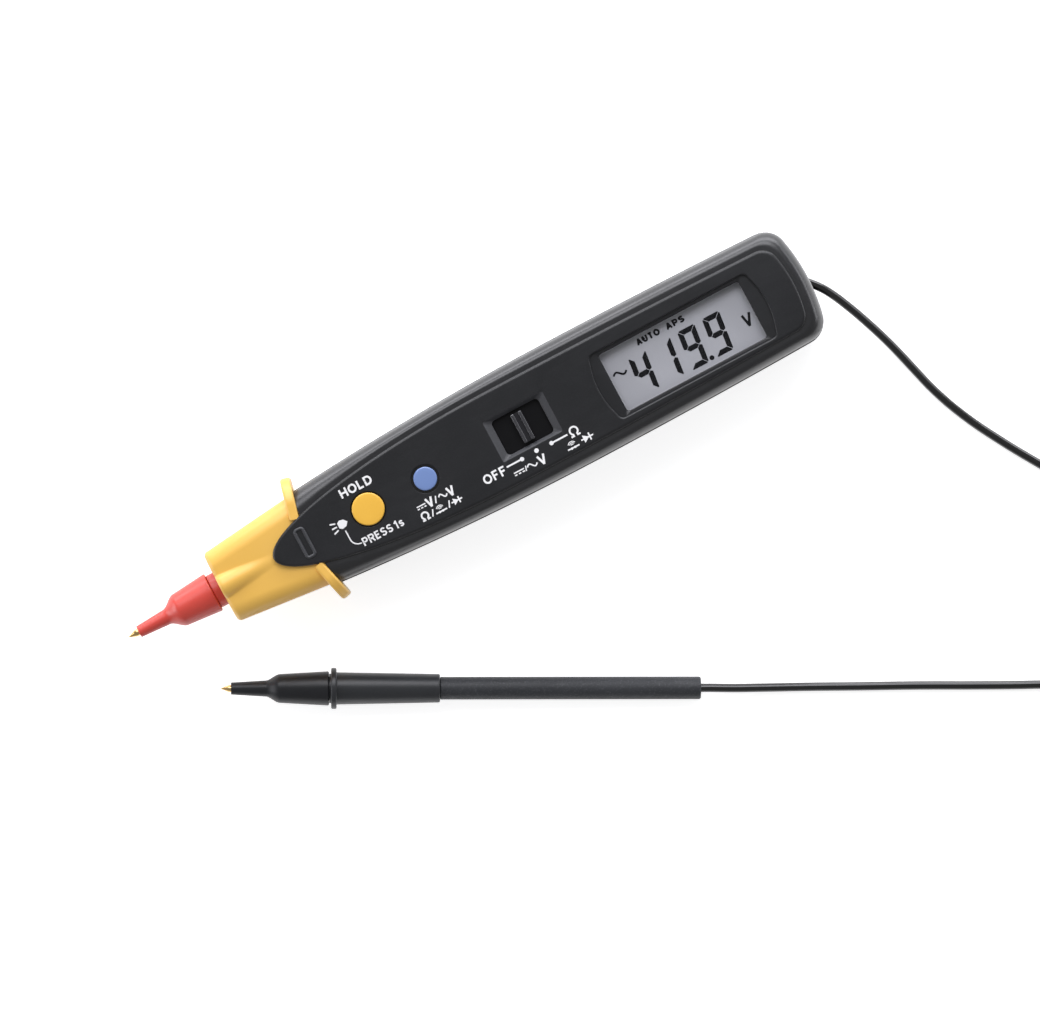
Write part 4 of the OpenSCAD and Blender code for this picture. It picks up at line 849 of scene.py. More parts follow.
def screw_tree(finish: Finish) -> bpy.types.NodeTree:
    """The node tree that sets a cross-headed screw, point up, on each point of a mesh.

    Args:
        finish: What the screws are finished in.

    Returns:
        The tree, with inputs for the sizes of a screw in metres.
    """
    tree = bpy.data.node_groups.new("cross_screws", "GeometryNodeTree")
    tree.interface.new_socket("Geometry", in_out="INPUT", socket_type="NodeSocketGeometry")
    for label, value in {"Head radius": 0.0019, "Head height": 0.0015, "Thread radius": 0.00095,
                         "Length": 0.009, "Slot width": 0.0005}.items():
        socket = tree.interface.new_socket(label, in_out="INPUT", socket_type="NodeSocketFloat")
        socket.default_value = value
    tree.interface.new_socket("Geometry", in_out="OUTPUT", socket_type="NodeSocketGeometry")
    wiring = Wiring(tree)
    given = wiring.add("NodeGroupInput").outputs

    def moved(shape: Any, length: str, times: float) -> bpy.types.NodeSocket:
        """A shape moved along the screw's axis by a multiple of one of its lengths."""
        way = wiring.add("ShaderNodeCombineXYZ", {"Z": wiring.figure("MULTIPLY", given[length], times)})
        return wiring.add("GeometryNodeTransform", {"Geometry": shape,
                                                    "Translation": way.outputs[0]}).outputs[0]

    def cylinder(sides: int, radius: str, length: str) -> bpy.types.NodeSocket:
        """A cylinder on the screw's axis, about its middle."""
        return wiring.add("GeometryNodeMeshCylinder", {"Vertices": sides, "Radius": given[radius],
                                                       "Depth": given[length]}).outputs["Mesh"]

    head = moved(cylinder(32, "Head radius", "Head height"), "Head height", -0.5)
    shank = moved(cylinder(24, "Thread radius", "Length"), "Length", 0.499)
    cut = wiring.add("GeometryNodeMeshBoolean", {0: head}, operation="DIFFERENCE")
    wide = wiring.figure("MULTIPLY", given["Head radius"], 1.3)
    for across, along in ((wide, given["Slot width"]), (given["Slot width"], wide)):
        size = wiring.add("ShaderNodeCombineXYZ", {"X": across, "Y": along, "Z": given["Head height"]})
        bar = wiring.add("GeometryNodeMeshCube", {"Size": size.outputs[0]})
        tree.links.new(moved(bar.outputs["Mesh"], "Head height", -1.05), cut.inputs[1])
    whole = wiring.add("GeometryNodeJoinGeometry")
    for shape in (cut.outputs[0], shank):
        tree.links.new(shape, whole.inputs[0])
    points = wiring.add("GeometryNodeMeshToPoints", {"Mesh": given["Geometry"]})
    copies = wiring.add("GeometryNodeInstanceOnPoints", {"Points": points.outputs[0],
                                                         "Instance": whole.outputs[0]})
    plain = wiring.add("GeometryNodeRealizeInstances", {"Geometry": copies.outputs[0]})
    coloured = wiring.add("GeometryNodeSetMaterial", {"Geometry": plain.outputs[0],
                                                      "Material": finish.material()})
    wiring.add("NodeGroupOutput", {"Geometry": coloured.outputs[0]})
    return tree


def screws(name: str, places: Sequence[Spot], sizes: Mapping[str, float], finish: Finish) -> bpy.types.Object:
    """Makes screws, point up, at the places of their heads' undersides.

    Args:
        name: The piece's name.
        places: Where the undersides are, in millimetres.
        sizes: The tree's own sizes by name, in millimetres.
        finish: What they are finished in.

    Returns:
        One piece with all of them.
    """
    data = bpy.data.meshes.new(name)
    data.from_pydata([tuple(c * MM for c in p) for p in places], [], [])
    piece = placed(name, data)
    tree = screw_tree(finish)
    work = piece.modifiers.new("screws", "NODES")
    work.node_group = tree
    for socket in tree.interface.items_tree:
        if socket.in_out == "INPUT" and socket.name in sizes:
            work[socket.identifier] = sizes[socket.name] * MM
    bake(piece)
    return settle(piece, 32.0)


# The pen


@dataclass
class Common:
    """Places and heights at which the sub-assemblies meet.

    Attributes:
        face_x: The nose's front face.
        joint_x: Where the case meets the nose.
        pin_z: The height of the test pin's axis.
        ceiling_z: The inner ceiling of the front moulding.
        panel_z: The top of the raised panel.
        hold: The middle of the hold button.
        select: The middle of the select button.
        switch: The middle of the slide switch.
        display: The middle of the display.
        view: Length and width of the display's window opening.
    """

    face_x: float = -66.1
    joint_x: float = -41.5
    pin_z: float = 13.5
    ceiling_z: float = 24.0
    panel_z: float = 26.0
    hold: Flat = (-26.5, 0.0)
    select: Flat = (-11.29, 0.0)
    switch: Flat = (14.69, 0.0)
    display: Flat = (56.9, -1.0)
    view: Flat = (37.3, 14.9)


@dataclass
class Plan(Common):
    """The case as seen from above.

    Attributes:
        tail_x: The end of the tail.
        belly_x: Where the case is widest.
        case_half: Half its width there.
        joint_half: Half its width where it meets the nose.
        tail_half: Half its width at the tail.
        tail_r: The radius of the tail's corners.
        tail_bulge: How far the tail's end bulges.
        wing_rear: A place just behind the rear face of a guard wing.
        wing_lean: How far that face runs towards the tail for each millimetre outwards.
        panel_wide_x: Where the raised panel is widest.
        panel_nose_x: The point of the panel's tongue.
        panel_tail_x: The panel's tail end.
        panel_half: Half the panel's greatest width.
        panel_tail_half: Half its width at its tail end.
        panel_r: The radius of its corners there.
        panel_bulge: How far its tail end bulges.
        valley: The width of the valley round the panel.
        least_r: The least radius of the valley's corners.
    """

    tail_x: float = 91.0
    belly_x: float = 28.0
    case_half: float = 15.2
    joint_half: float = 12.1
    tail_half: float = 14.4
    tail_r: float = 5.5
    tail_bulge: float = 1.2
    wing_rear: Flat = (-41.76, 5.702)
    wing_lean: float = 0.24
    panel_wide_x: float = 10.0
    panel_nose_x: float = -51.7
    panel_tail_x: float = 87.0
    panel_half: float = 11.5
    panel_tail_half: float = 10.6
    panel_r: float = 4.3
    panel_bulge: float = 0.8
    valley: float = 0.9
    least_r: float = 0.5

    def case(self, x: float) -> float:
        """Half the case's width at x.

        Args:
            x: The place along the pen.

        Returns:
            The half width.
        """
        if x < self.belly_x:
            share, end_half = (self.belly_x - x) / (self.belly_x - self.joint_x), self.joint_half
        else:
            share, end_half = (x - self.belly_x) / (self.tail_x - self.tail_r - self.belly_x), self.tail_half
        return self.case_half - (self.case_half - end_half) * share**2

    def panel(self, x: float) -> float:
        """Half the raised panel's width at x.

        Args:
            x: The place along the pen.

        Returns:
            The half width.
        """
        if x < self.panel_wide_x:
            share = (self.panel_wide_x - x) / (self.panel_wide_x - self.panel_nose_x)
            return self.panel_half * math.sqrt(max(0.0, 1 - share**2))
        share = (x - self.panel_wide_x) / (self.panel_tail_x - self.panel_r - self.panel_wide_x)
        return self.panel_half - (self.panel_half - self.panel_tail_half) * share**2

    def front_x(self, y: float) -> float:
        """Where the case starts at y, behind the leaning guard wings."""
        return max(self.joint_x, self.wing_rear[0] + self.wing_lean * (abs(y) - self.wing_rear[1]))

    def side(self, half: Callable[[float], float], inset: float, x_start: float, x_end: float, r: float,
             bulge: float) -> list[Flat]:
        """Half an outline, from the side at x_start to the middle of the bulged tail end.

        Args:
            half: Half the width at x.
            inset: How far inside that it runs.
            x_start: Where it starts.
            x_end: Its tail end.
            r: The radius of the tail's corner.
            bulge: How far the tail's end bulges.

        Returns:
            The points of the half outline.
        """
        side_steps, corner_steps, end_steps = 56, 12, 8
        turn = math.atan(2 * bulge / (half(x_end - r) - inset - r))
        cx = x_end - bulge - r * math.cos(turn)
        cy = half(cx) - inset - r
        y_end = cy + r * math.sin(turn)
        stations = (mixed(x_start, cx, i / side_steps) for i in range(side_steps + 1))
        points = [(x, half(x) - inset) for x in stations]
        for i in range(1, corner_steps + 1):
            x, y = polar(r, 90 - (90 - math.degrees(turn)) * i / corner_steps)
            points.append((cx + x, cy + y))
        for i in range(1, end_steps + 1):
            y = y_end * (1 - i / end_steps)
            points.append((x_end - bulge * (y / y_end) ** 2, y))
        return points

    def case_line(self, inset: float) -> list[Flat]:
        """Half the case's outline, from its front."""
        return self.side(self.case, inset, self.front_x(self.case(self.joint_x) - inset), self.tail_x - inset,
                         self.tail_r - inset, self.tail_bulge)

    def deck_line(self, inset: float) -> list[Flat]:
        """Half the outline of the valley round the panel, from its front."""
        inset -= self.valley
        return self.side(self.panel, inset, self.front_x(self.panel(self.joint_x) - inset),
                         self.panel_tail_x - inset, max(self.panel_r - inset, self.least_r), self.panel_bulge)

    def panel_outline(self, inset: float) -> list[Flat]:
        """The whole outline of the raised panel, anticlockwise from the tip of its tongue.

        Args:
            inset: How far inside the panel's edge it runs.

        Returns:
            The points of the outline.
        """
        a, b = self.panel_wide_x - self.panel_nose_x - inset, self.panel_half - inset
        lower = [(self.panel_wide_x - a * c, -b * s) for c, s in arc(72)]
        tail = self.side(self.panel, inset, self.panel_wide_x, self.panel_tail_x - inset,
                         self.panel_r - inset, self.panel_bulge)
        lower += [(x, -y) for x, y in tail[1:]]
        return lower + [(x, -y) for x, y in lower[-2:0:-1]]


@dataclass
class Case(Common):
    """The black mouldings: the front with its raised panel, the rear, the battery cover and the screws.

    Attributes:
        plan: The outlines that the front moulding follows.
        parting_z: Where the front moulding meets the rear one.
        band: The height of the front moulding's straight lower edge.
        step: How far its side stands back from the rear moulding's.
        wall: The thickness of its wall.
        spring_z: Where its rounded shoulder starts.
        deck_z: The height of the valley that the shoulder ends in.
        lip: How far its deck reaches in from the shoulder, across the valley and under the panel.
        hold_hole: The radius of the hold button's opening.
        select_hole: The radius of the select button's opening.
        recess: Length and width of the slide switch's recess at the top.
        recess_r: The radius of its corners.
        slot: Length and width of the opening in its floor.
        bezel: Length and width of the display's recess.
        bezel_r: The radius of its corners.
        bezel_bulge: How far each of its ends bulges.
        bezel_depth: How far its floor lies under the panel's top.
        view_r: The radius of the window opening's corners.
        tab: The middle of the small frame on the panel's tongue.
        tab_size: Its length and width, at the middle of its wall.
        tab_r: The radius of its corners.
        screw_places: Where the case screws stand along the pen, and how far off its middle line.
        head_z: The undersides of their heads.
        door_screw_z: The underside of the battery cover's screw's head.
        door_screw_r: The radius of that head.
    """

    plan: Plan = field(default_factory=Plan)
    parting_z: float = 13.0
    band: float = 0.2
    step: float = 0.25
    wall: float = 1.8
    spring_z: float = 20.7
    deck_z: float = 25.3
    lip: float = 2.4
    hold_hole: float = 4.225
    select_hole: float = 3.45
    recess: Flat = (15.8, 10.6)
    recess_r: float = 0.5
    slot: Flat = (12.4, 9.0)
    bezel: Flat = (44.6, 16.7)
    bezel_r: float = 1.5
    bezel_bulge: float = 1.2
    bezel_depth: float = 0.8
    view_r: float = 0.75
    tab: Flat = (-43.4, 0.0)
    tab_size: Flat = (2.8, 7.8)
    tab_r: float = 1.0
    screw_places: tuple[Flat, ...] = ((-34.4, 4.8), (81.2, 7.4))
    head_z: float = 10.95
    door_screw_z: float = 0.65
    door_screw_r: float = 1.9

    def front_shell(self) -> bpy.types.Object:
        """The front moulding's sides and rounded shoulder, round the raised panel.

        Returns:
            The new piece.
        """
        plan, quarter = self.plan, arc(16)
        side, deck, under = plan.case_line(self.step), plan.deck_line(0), plan.deck_line(self.lip)
        inner_side, inner_deck = plan.case_line(self.wall + self.step), plan.deck_line(self.wall / 3)
        spring, rise, inner_rise = self.spring_z, self.deck_z - self.spring_z, self.ceiling_z - self.spring_z

        def line(a: Sequence[Flat], b: Sequence[Flat], share: float, z: float) -> list[Spot]:
            """A line between two outlines, at one height."""
            half = [(mixed(p[0], q[0], share), mixed(p[1], q[1], share), z) for p, q in zip(a, b)]
            return half + [(x, -y, z) for x, y, z in half[-2::-1]]

        lines = [line(side, side, 0, z) for z in (self.parting_z, self.parting_z + self.band)]
        lines += [line(side, deck, 1 - c, spring + rise * s) for c, s in quarter]
        lines += [line(under, under, 0, z) for z in (self.deck_z, self.ceiling_z + 0.05)]
        lines += [line(inner_side, inner_deck, 1 - c, spring + inner_rise * s) for c, s in quarter[::-1]]
        lines.append(line(inner_side, inner_side, 0, self.parting_z))
        return loft("front_shell", list(zip(*lines)), SHELL)

    def panel_face(self) -> bpy.types.Object:
        """The raised panel with its rounded edge and its openings.

        Returns:
            The new piece.
        """
        low, top = self.ceiling_z + 0.3, self.panel_z

        def rounded(width: float, depth: float) -> list[Flat]:
            """The section of an edge that is rounded over a width and a depth."""
            return [(0, low)] + [(width * (1 - c), top - depth * (1 - s)) for c, s in arc(9)]

        edge, brim = rounded(0.8, 0.6), rounded(0.4, 0.34)
        hole = [(0, low), (0, top - 0.1), (0.03, top - 0.03), (0.1, top)]
        return plate("panel_face", [
            (self.plan.panel_outline, edge),
            (lambda g: circle(*self.hold, self.hold_hole + g, 96), hole),
            (lambda g: circle(*self.select, self.select_hole + g, 80), hole),
            (lambda g: round_rect(*grown(self.recess, g), self.recess_r + g, self.switch), hole),
            (lambda g: bulged_rect(*grown(self.bezel, g), self.bezel_r + g, self.bezel_bulge, self.display),
             brim),
        ], PANEL)

    def switch_recess(self) -> bpy.types.Object:
        """The sloping sides of the slide switch's recess, down to its opening.

        Returns:
            The new piece.
        """
        floor, top = self.ceiling_z + 0.02, self.panel_z
        rows = ((self.recess, 0.25, 0.7, floor), (self.recess, 0.25, 0.7, top - 0.03),
                (self.recess, 0.01, self.recess_r, top - 0.03), (self.slot, 0.1, 1.0, top - 0.86),
                (self.slot, 0.03, 1.0, top - 0.94), (self.slot, 0.0, 1.0, top - 1.05),
                (self.slot, 0.0, 1.0, floor))
        rings = [level(round_rect(*grown(size, g), r, self.switch), z) for size, g, r, z in rows]
        # The recess's sides are in the black that is painted lighter for the light they catch
        return loft("switch_recess", rings, PAINTED_LIGHT_BLACK, True, 24.0)

    def display_recess(self) -> bpy.types.Object:
        """The floor of the display's recess, with the rounded edge of its window opening.

        Returns:
            The new piece.
        """
        low, top = self.ceiling_z + 0.03, self.panel_z - self.bezel_depth
        return plate("display_recess", [
            (lambda g: bulged_rect(*grown(self.bezel, -g), self.bezel_r, self.bezel_bulge, self.display),
             [(-0.3, low), (-0.3, top)]),
            (lambda g: round_rect(*grown(self.view, g), self.view_r + g, self.display),
             [(0, low), (0, top - 0.3), (0.05, top - 0.12), (0.2, top)]),
        ], PANEL)

    def tactile_frame(self) -> bpy.types.Object:
        """The small raised frame near the tip of the panel's tongue.

        Returns:
            The new piece.
        """
        arch = [(0.36 - 0.4 * c, self.panel_z - 0.06 + 0.42 * s) for c, s in arc(12, 180)]
        rings = [level(round_rect(*grown(self.tab_size, -g), self.tab_r - g, self.tab), z) for g, z in arch]
        # The frame is in the black that is painted lighter for the light it catches
        return loft("tactile_frame", rings, PAINTED_LIGHT_BLACK, True, 60.0)

    def build(self) -> None:
        """Builds and dresses the mouldings and their screws."""
        fit(self.front_shell(), Body.METER, SHELL, "front_case")
        # The switch recess and the small frame are in the black with painted light
        for piece, finish in ((self.panel_face(), PANEL), (self.switch_recess(), PAINTED_LIGHT_BLACK),
                              (self.display_recess(), PANEL), (self.tactile_frame(), PAINTED_LIGHT_BLACK)):
            fit(piece, Body.METER, finish)
        fit(merged_copy("rear_case", "rear_shell", SHELL), Body.METER, SHELL, "rear_case")
        fit(merged_copy("battery_cover", "battery_door", SHELL, edge=0.2), Body.METER, SHELL, "battery_cover")
        places = [(x, side * y, self.head_z) for x, y in self.screw_places for side in (-1, 1)]
        case_set = screws("case_screw_set", places, {"Head height": 1.5, "Length": 9.0}, STEEL)
        fit(case_set, Body.METER, STEEL, "case_screws")
        place = (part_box("cover_screw")[0].x / MM + self.door_screw_r, 0, self.door_screw_z)
        sizes = {"Head height": 0.5, "Length": 5.4, "Slot width": 0.45}
        door_screw = screws("battery_door_screw", [place], sizes, STEEL)
        fit(door_screw, Body.METER, STEEL, "cover_screw")


@dataclass
class Nose(Common):
    """The yellow nose with its lamp's hump and its two finger guard wings.

    Attributes:
        face_half: Half the nose's width at its face.
        root_half: Half its width at the case.
        face_top: The height of its top at its face.
        root_top: The height of its top at the case.
        face_r: The rounding of its face's edge.
        corner: The radius of its long edges.
        keel_x: Where the line of its underside would leave the flat back.
        keel_rise: How high that line is at its face.
        hump_r: The radius of the hump over the lamp.
        crease: The width over which the hump's crease is filled.
        lamp_z: The height of the lamp's axis.
        lamp_r: The lamp's radius.
        lamp_bore: The radius of its bore.
        holder_bore: The radius of the tip holder's bore.
        bore_x: The two ends of both bores.
        tenon_size: Width and height of the tenon in the case.
        tenon_z: The height of its middle.
        wing: The middle of a wing's root: its place along the pen, and off the pen's middle line.
        wing_t: A wing's thickness.
        wing_angle: How far it leans towards the tail, in degrees.
        wing_top: The height of its top.
        wing_low: The height of its lower edge.
        wing_edge: The rounding of its edges.
        upper_r: The radius of its upper outer corner.
        lower_r: The radius of its lower outer corner.
        guard_half: Half the width over both wings.
        root_y: Where its lower edge starts, off the pen's middle line.
    """

    face_half: float = 9.0
    root_half: float = 11.6
    face_top: float = 22.4
    root_top: float = 25.0
    face_r: float = 1.0
    corner: float = 4.2
    keel_x: float = -8.0
    keel_rise: float = 4.8
    hump_r: float = 3.1
    crease: float = 0.5
    lamp_z: float = 21.35
    lamp_r: float = 1.5
    lamp_bore: float = 1.62
    holder_bore: float = 3.35
    bore_x: Flat = (-70.0, -36.0)
    tenon_size: Flat = (19.8, 19.7)
    tenon_z: float = 13.9
    wing: Flat = (-43.0, 6.0)
    wing_t: float = 2.4
    wing_angle: float = 13.5
    wing_top: float = 25.8
    wing_low: float = 4.4
    wing_edge: float = 0.62
    upper_r: float = 6.5
    lower_r: float = 4.0
    guard_half: float = 15.8
    root_y: float = 9.5

    def section(self, x: float, inset: float) -> list[Spot]:
        """The closed section of the nose at x, with the hump over the lamp.

        Args:
            x: Where it is.
            inset: How far inside the plain section it runs.

        Returns:
            The points of the section.
        """
        share = (self.joint_x - x) / (self.joint_x - self.face_x)
        half = mixed(self.root_half, self.face_half, share) - inset
        top = self.root_top - (self.root_top - self.face_top) * share**2 - inset
        low = self.keel_rise * ((self.keel_x - x) / (self.keel_x - self.face_x)) ** 2 + inset
        r, mid = self.corner, (top + low) / 2
        flat_y, flat_z = half - r, (top - low) / 2 - r
        ring = [(flat_y - 2 * flat_y * i / 64, top) for i in range(65)]
        for sy, sz, start in ((-1, 1, 90), (-1, -1, 180), (1, -1, 270), (1, 1, 360)):
            for i in range(0 if start > 90 else 1, 13):
                y, z = polar(r, start + 90 * i / 12)
                ring.append((sy * flat_y + y, mid + sz * flat_z + z))
        hump = self.hump_r - 0.6 * inset
        drawn = []
        for y, z in ring[:-1]:
            if z > top - 0.01 and abs(y) < hump:
                z = soft_max(z, self.lamp_z + math.sqrt(hump**2 - y**2), self.crease)
            drawn.append((x, y, z))
        return drawn

    def body(self) -> bpy.types.Object:
        """The nose with its rounded face.

        Returns:
            The new piece.
        """
        start, r = self.face_x, self.face_r
        rings = [self.section(start + r * (1 - c), r * (1 - s)) for c, s in arc(8)]
        rings += [self.section(mixed(start + r, self.joint_x - 0.05, i / 40), 0) for i in range(1, 41)]
        return self.bored(loft("nose_body", rings, YELLOW))

    def tenon(self) -> bpy.types.Object:
        """The nose's tenon in the case.

        Returns:
            The new piece.
        """
        outline = round_rect(*self.tenon_size, 5.0, (0, self.tenon_z))
        ends = (self.joint_x - 0.04, self.joint_x + 3.4)
        return self.bored(loft("nose_tenon", [[(x, y, z) for y, z in outline] for x in ends], YELLOW))

    def bored(self, piece: bpy.types.Object) -> bpy.types.Object:
        """A piece with the bores of the tip holder and the lamp cut through it.

        Args:
            piece: The piece.

        Returns:
            The same piece.
        """
        start, end = self.bore_x
        for z, r in ((self.pin_z, self.holder_bore), (self.lamp_z, self.lamp_bore)):
            profile = [(start, 0), (start, r), (end, r), (end, 0)]
            carve(piece, Axis((0, 0, z), (1, 0, 0)).turned("bore", profile, YELLOW, sides=48))
        return piece

    def wing_piece(self, side: int) -> bpy.types.Object:
        """One guard wing.

        Args:
            side: 1 for the one on the left hand of the pin, -1 for the other.

        Returns:
            The wing.
        """
        cs, sn = polar(1, self.wing_angle)
        root_x, root_y = self.wing
        out = (self.guard_half - root_y) / cs
        edge, half, upper, lower = self.wing_edge, self.wing_t / 2, self.upper_r, self.lower_r
        sections = [(-half + edge * (1 - c), edge * (1 - s)) for c, s in arc(6)]
        sections += [(-lx, g) for lx, g in reversed(sections)]
        rings = []
        for lx, g in sections:
            line = [(1.3 * g, self.wing_top - g)]
            line += bow(out - upper, self.wing_top - upper, upper - g, upper - g, 90, 0, 14)
            line += bow(out - lower, self.wing_low + lower, lower - g, lower - g, 0, -90, 10)
            line.append((self.root_y - root_y + g, self.wing_low + g))
            rings.append([(root_x + cs * lx + sn * ly, side * (root_y - sn * lx + cs * ly), z)
                          for ly, z in line])
        return loft("guard_wing_left" if side > 0 else "guard_wing_right", rings, YELLOW, sharp=50.0)

    def lamp(self) -> bpy.types.Object:
        """The lamp in its bore, with a flange behind its round end.

        Returns:
            The new piece.
        """
        r, tip = self.lamp_r, self.face_x + 0.05
        front, rear, flange = tip + 3.7, tip + 5.2, self.lamp_r + 0.1
        dome = [(tip + r * (1 - c), r * s) for c, s in arc(10)]
        profile = dome + [(front, r), (front, flange), (rear, flange), (rear, 0)]
        return Axis((0, 0, self.lamp_z), (1, 0, 0)).turned("lamp_lens", profile, LAMP, sides=40)

    def build(self) -> None:
        """Builds and dresses the nose, its wings and its lamp."""
        fit(self.body(), Body.METER, YELLOW, "nose_guard")
        fit(self.tenon(), Body.METER, YELLOW)
        for side in (1, -1):
            fit(self.wing_piece(side), Body.METER, YELLOW)
        fit(self.lamp(), Body.METER, LAMP, "lamp_led")


def pin_profile(point: float, end: float) -> list[Flat]:
    """The profile of a plated pin with a blunt point, from its point to its inner end."""
    r = 0.9
    return filleted([(point, 0, 0), (point + 0.02, 0.1, 0.05), (point + 2, r, 0.5), (end, r, 0), (end, 0, 0)])


@dataclass(frozen=True)
class PushCap:
    """A push-on cap: a nozzle, a flare and a body, round a bore and a wider socket.

    Attributes:
        start: Station of its nozzle's end.
        rear: Station of its rear.
        flare_l: Length of its flare.
        body_l: Length of its body.
        body_r: Radius of its body at the rear.
        socket_l: Depth of its socket.
        socket_r: Radius of its socket.
        bore_r: Radius of its bore.
        end_r: Radius of its nozzle's end.
        root_r: Radius where the nozzle meets the flare.
        waist: Radius of its body at the flare, as a share of that at the rear.
    """

    start: float
    rear: float
    flare_l: float
    body_l: float
    body_r: float
    socket_l: float
    socket_r: float = 2.875
    bore_r: float = 1.05
    end_r: float = 1.45
    root_r: float = 1.9
    waist: float = 0.84

    def profile(self) -> list[Flat]:
        """Station and radius of each point of its profile, closed round its bore.

        Returns:
            The points of the profile.
        """
        steps, rear, socket = 14, self.rear, self.rear - self.socket_l
        flare, waist_r = self.rear - self.body_l - self.flare_l, self.waist * self.body_r
        corners = [(self.start, self.bore_r, 0), (self.start, self.end_r, 0.35),
                   (flare - 0.4, self.root_r, 0)]
        for t in (i / steps for i in range(1, steps + 1)):
            corners.append((flare + self.flare_l * t, mixed(self.root_r, waist_r, eased(t)), 0))
        corners += [(rear, self.body_r, 0.4), (rear, self.socket_r, 0), (socket, self.socket_r, 0),
                    (socket, self.bore_r, 0)]
        return filleted(corners)


@dataclass
class TestTip(Common):
    """The plated pin, its red holder and the red cap over it.

    Attributes:
        point_x: The pin's point.
        pin_end_x: Its inner end.
        collar_l: Length of the holder's collar, between the nose and the cap.
        collar_r: The collar's radius.
        neck_l: Length of the holder's neck, which the cap pushes onto.
        neck_r: The neck's radius.
        stem_l: Length of the holder's stem in the nose.
        stem_r: The stem's radius.
        bore_r: The radius of the holder's bore.
        gap: The gaps before and behind the collar.
    """

    point_x: float = -91.0
    pin_end_x: float = -45.06
    collar_l: float = 2.1
    collar_r: float = 4.2
    neck_l: float = 6.6
    neck_r: float = 2.8
    stem_l: float = 16.0
    stem_r: float = 3.3
    bore_r: float = 0.925
    gap: float = 0.05

    def build(self) -> None:
        """Builds and dresses the pin, its holder and its cap."""
        axis = Axis((0.0, 0.0, self.pin_z), (1.0, 0.0, 0.0))
        collar, seat = self.face_x - self.collar_l, self.face_x - self.gap
        neck, stem = collar - self.neck_l, self.face_x + self.stem_l
        holder = filleted([(neck, self.bore_r, 0), (neck, self.neck_r, 0.3), (collar, self.neck_r, 0),
                           (collar, self.collar_r, 0.3), (seat, self.collar_r, 0), (seat, self.stem_r, 0),
                           (stem, self.stem_r, 0), (stem, self.bore_r, 0)])
        fit(axis.turned("tip_collar", holder, RED, hollow=True), Body.METER, RED, "tip_holder")
        pin = pin_profile(self.point_x, self.pin_end_x)
        fit(axis.turned("test_pin_body", pin, GOLD, sides=40), Body.METER, GOLD, "test_pin")
        cap = PushCap(self.point_x + 2.7, collar - self.gap, flare_l=4.0, body_l=8.8, body_r=4.9,
                      socket_l=6.9)
        fit(axis.turned("tip_cap_body", cap.profile(), RED, hollow=True), Body.TIP_CAP, RED, "tip_cap")


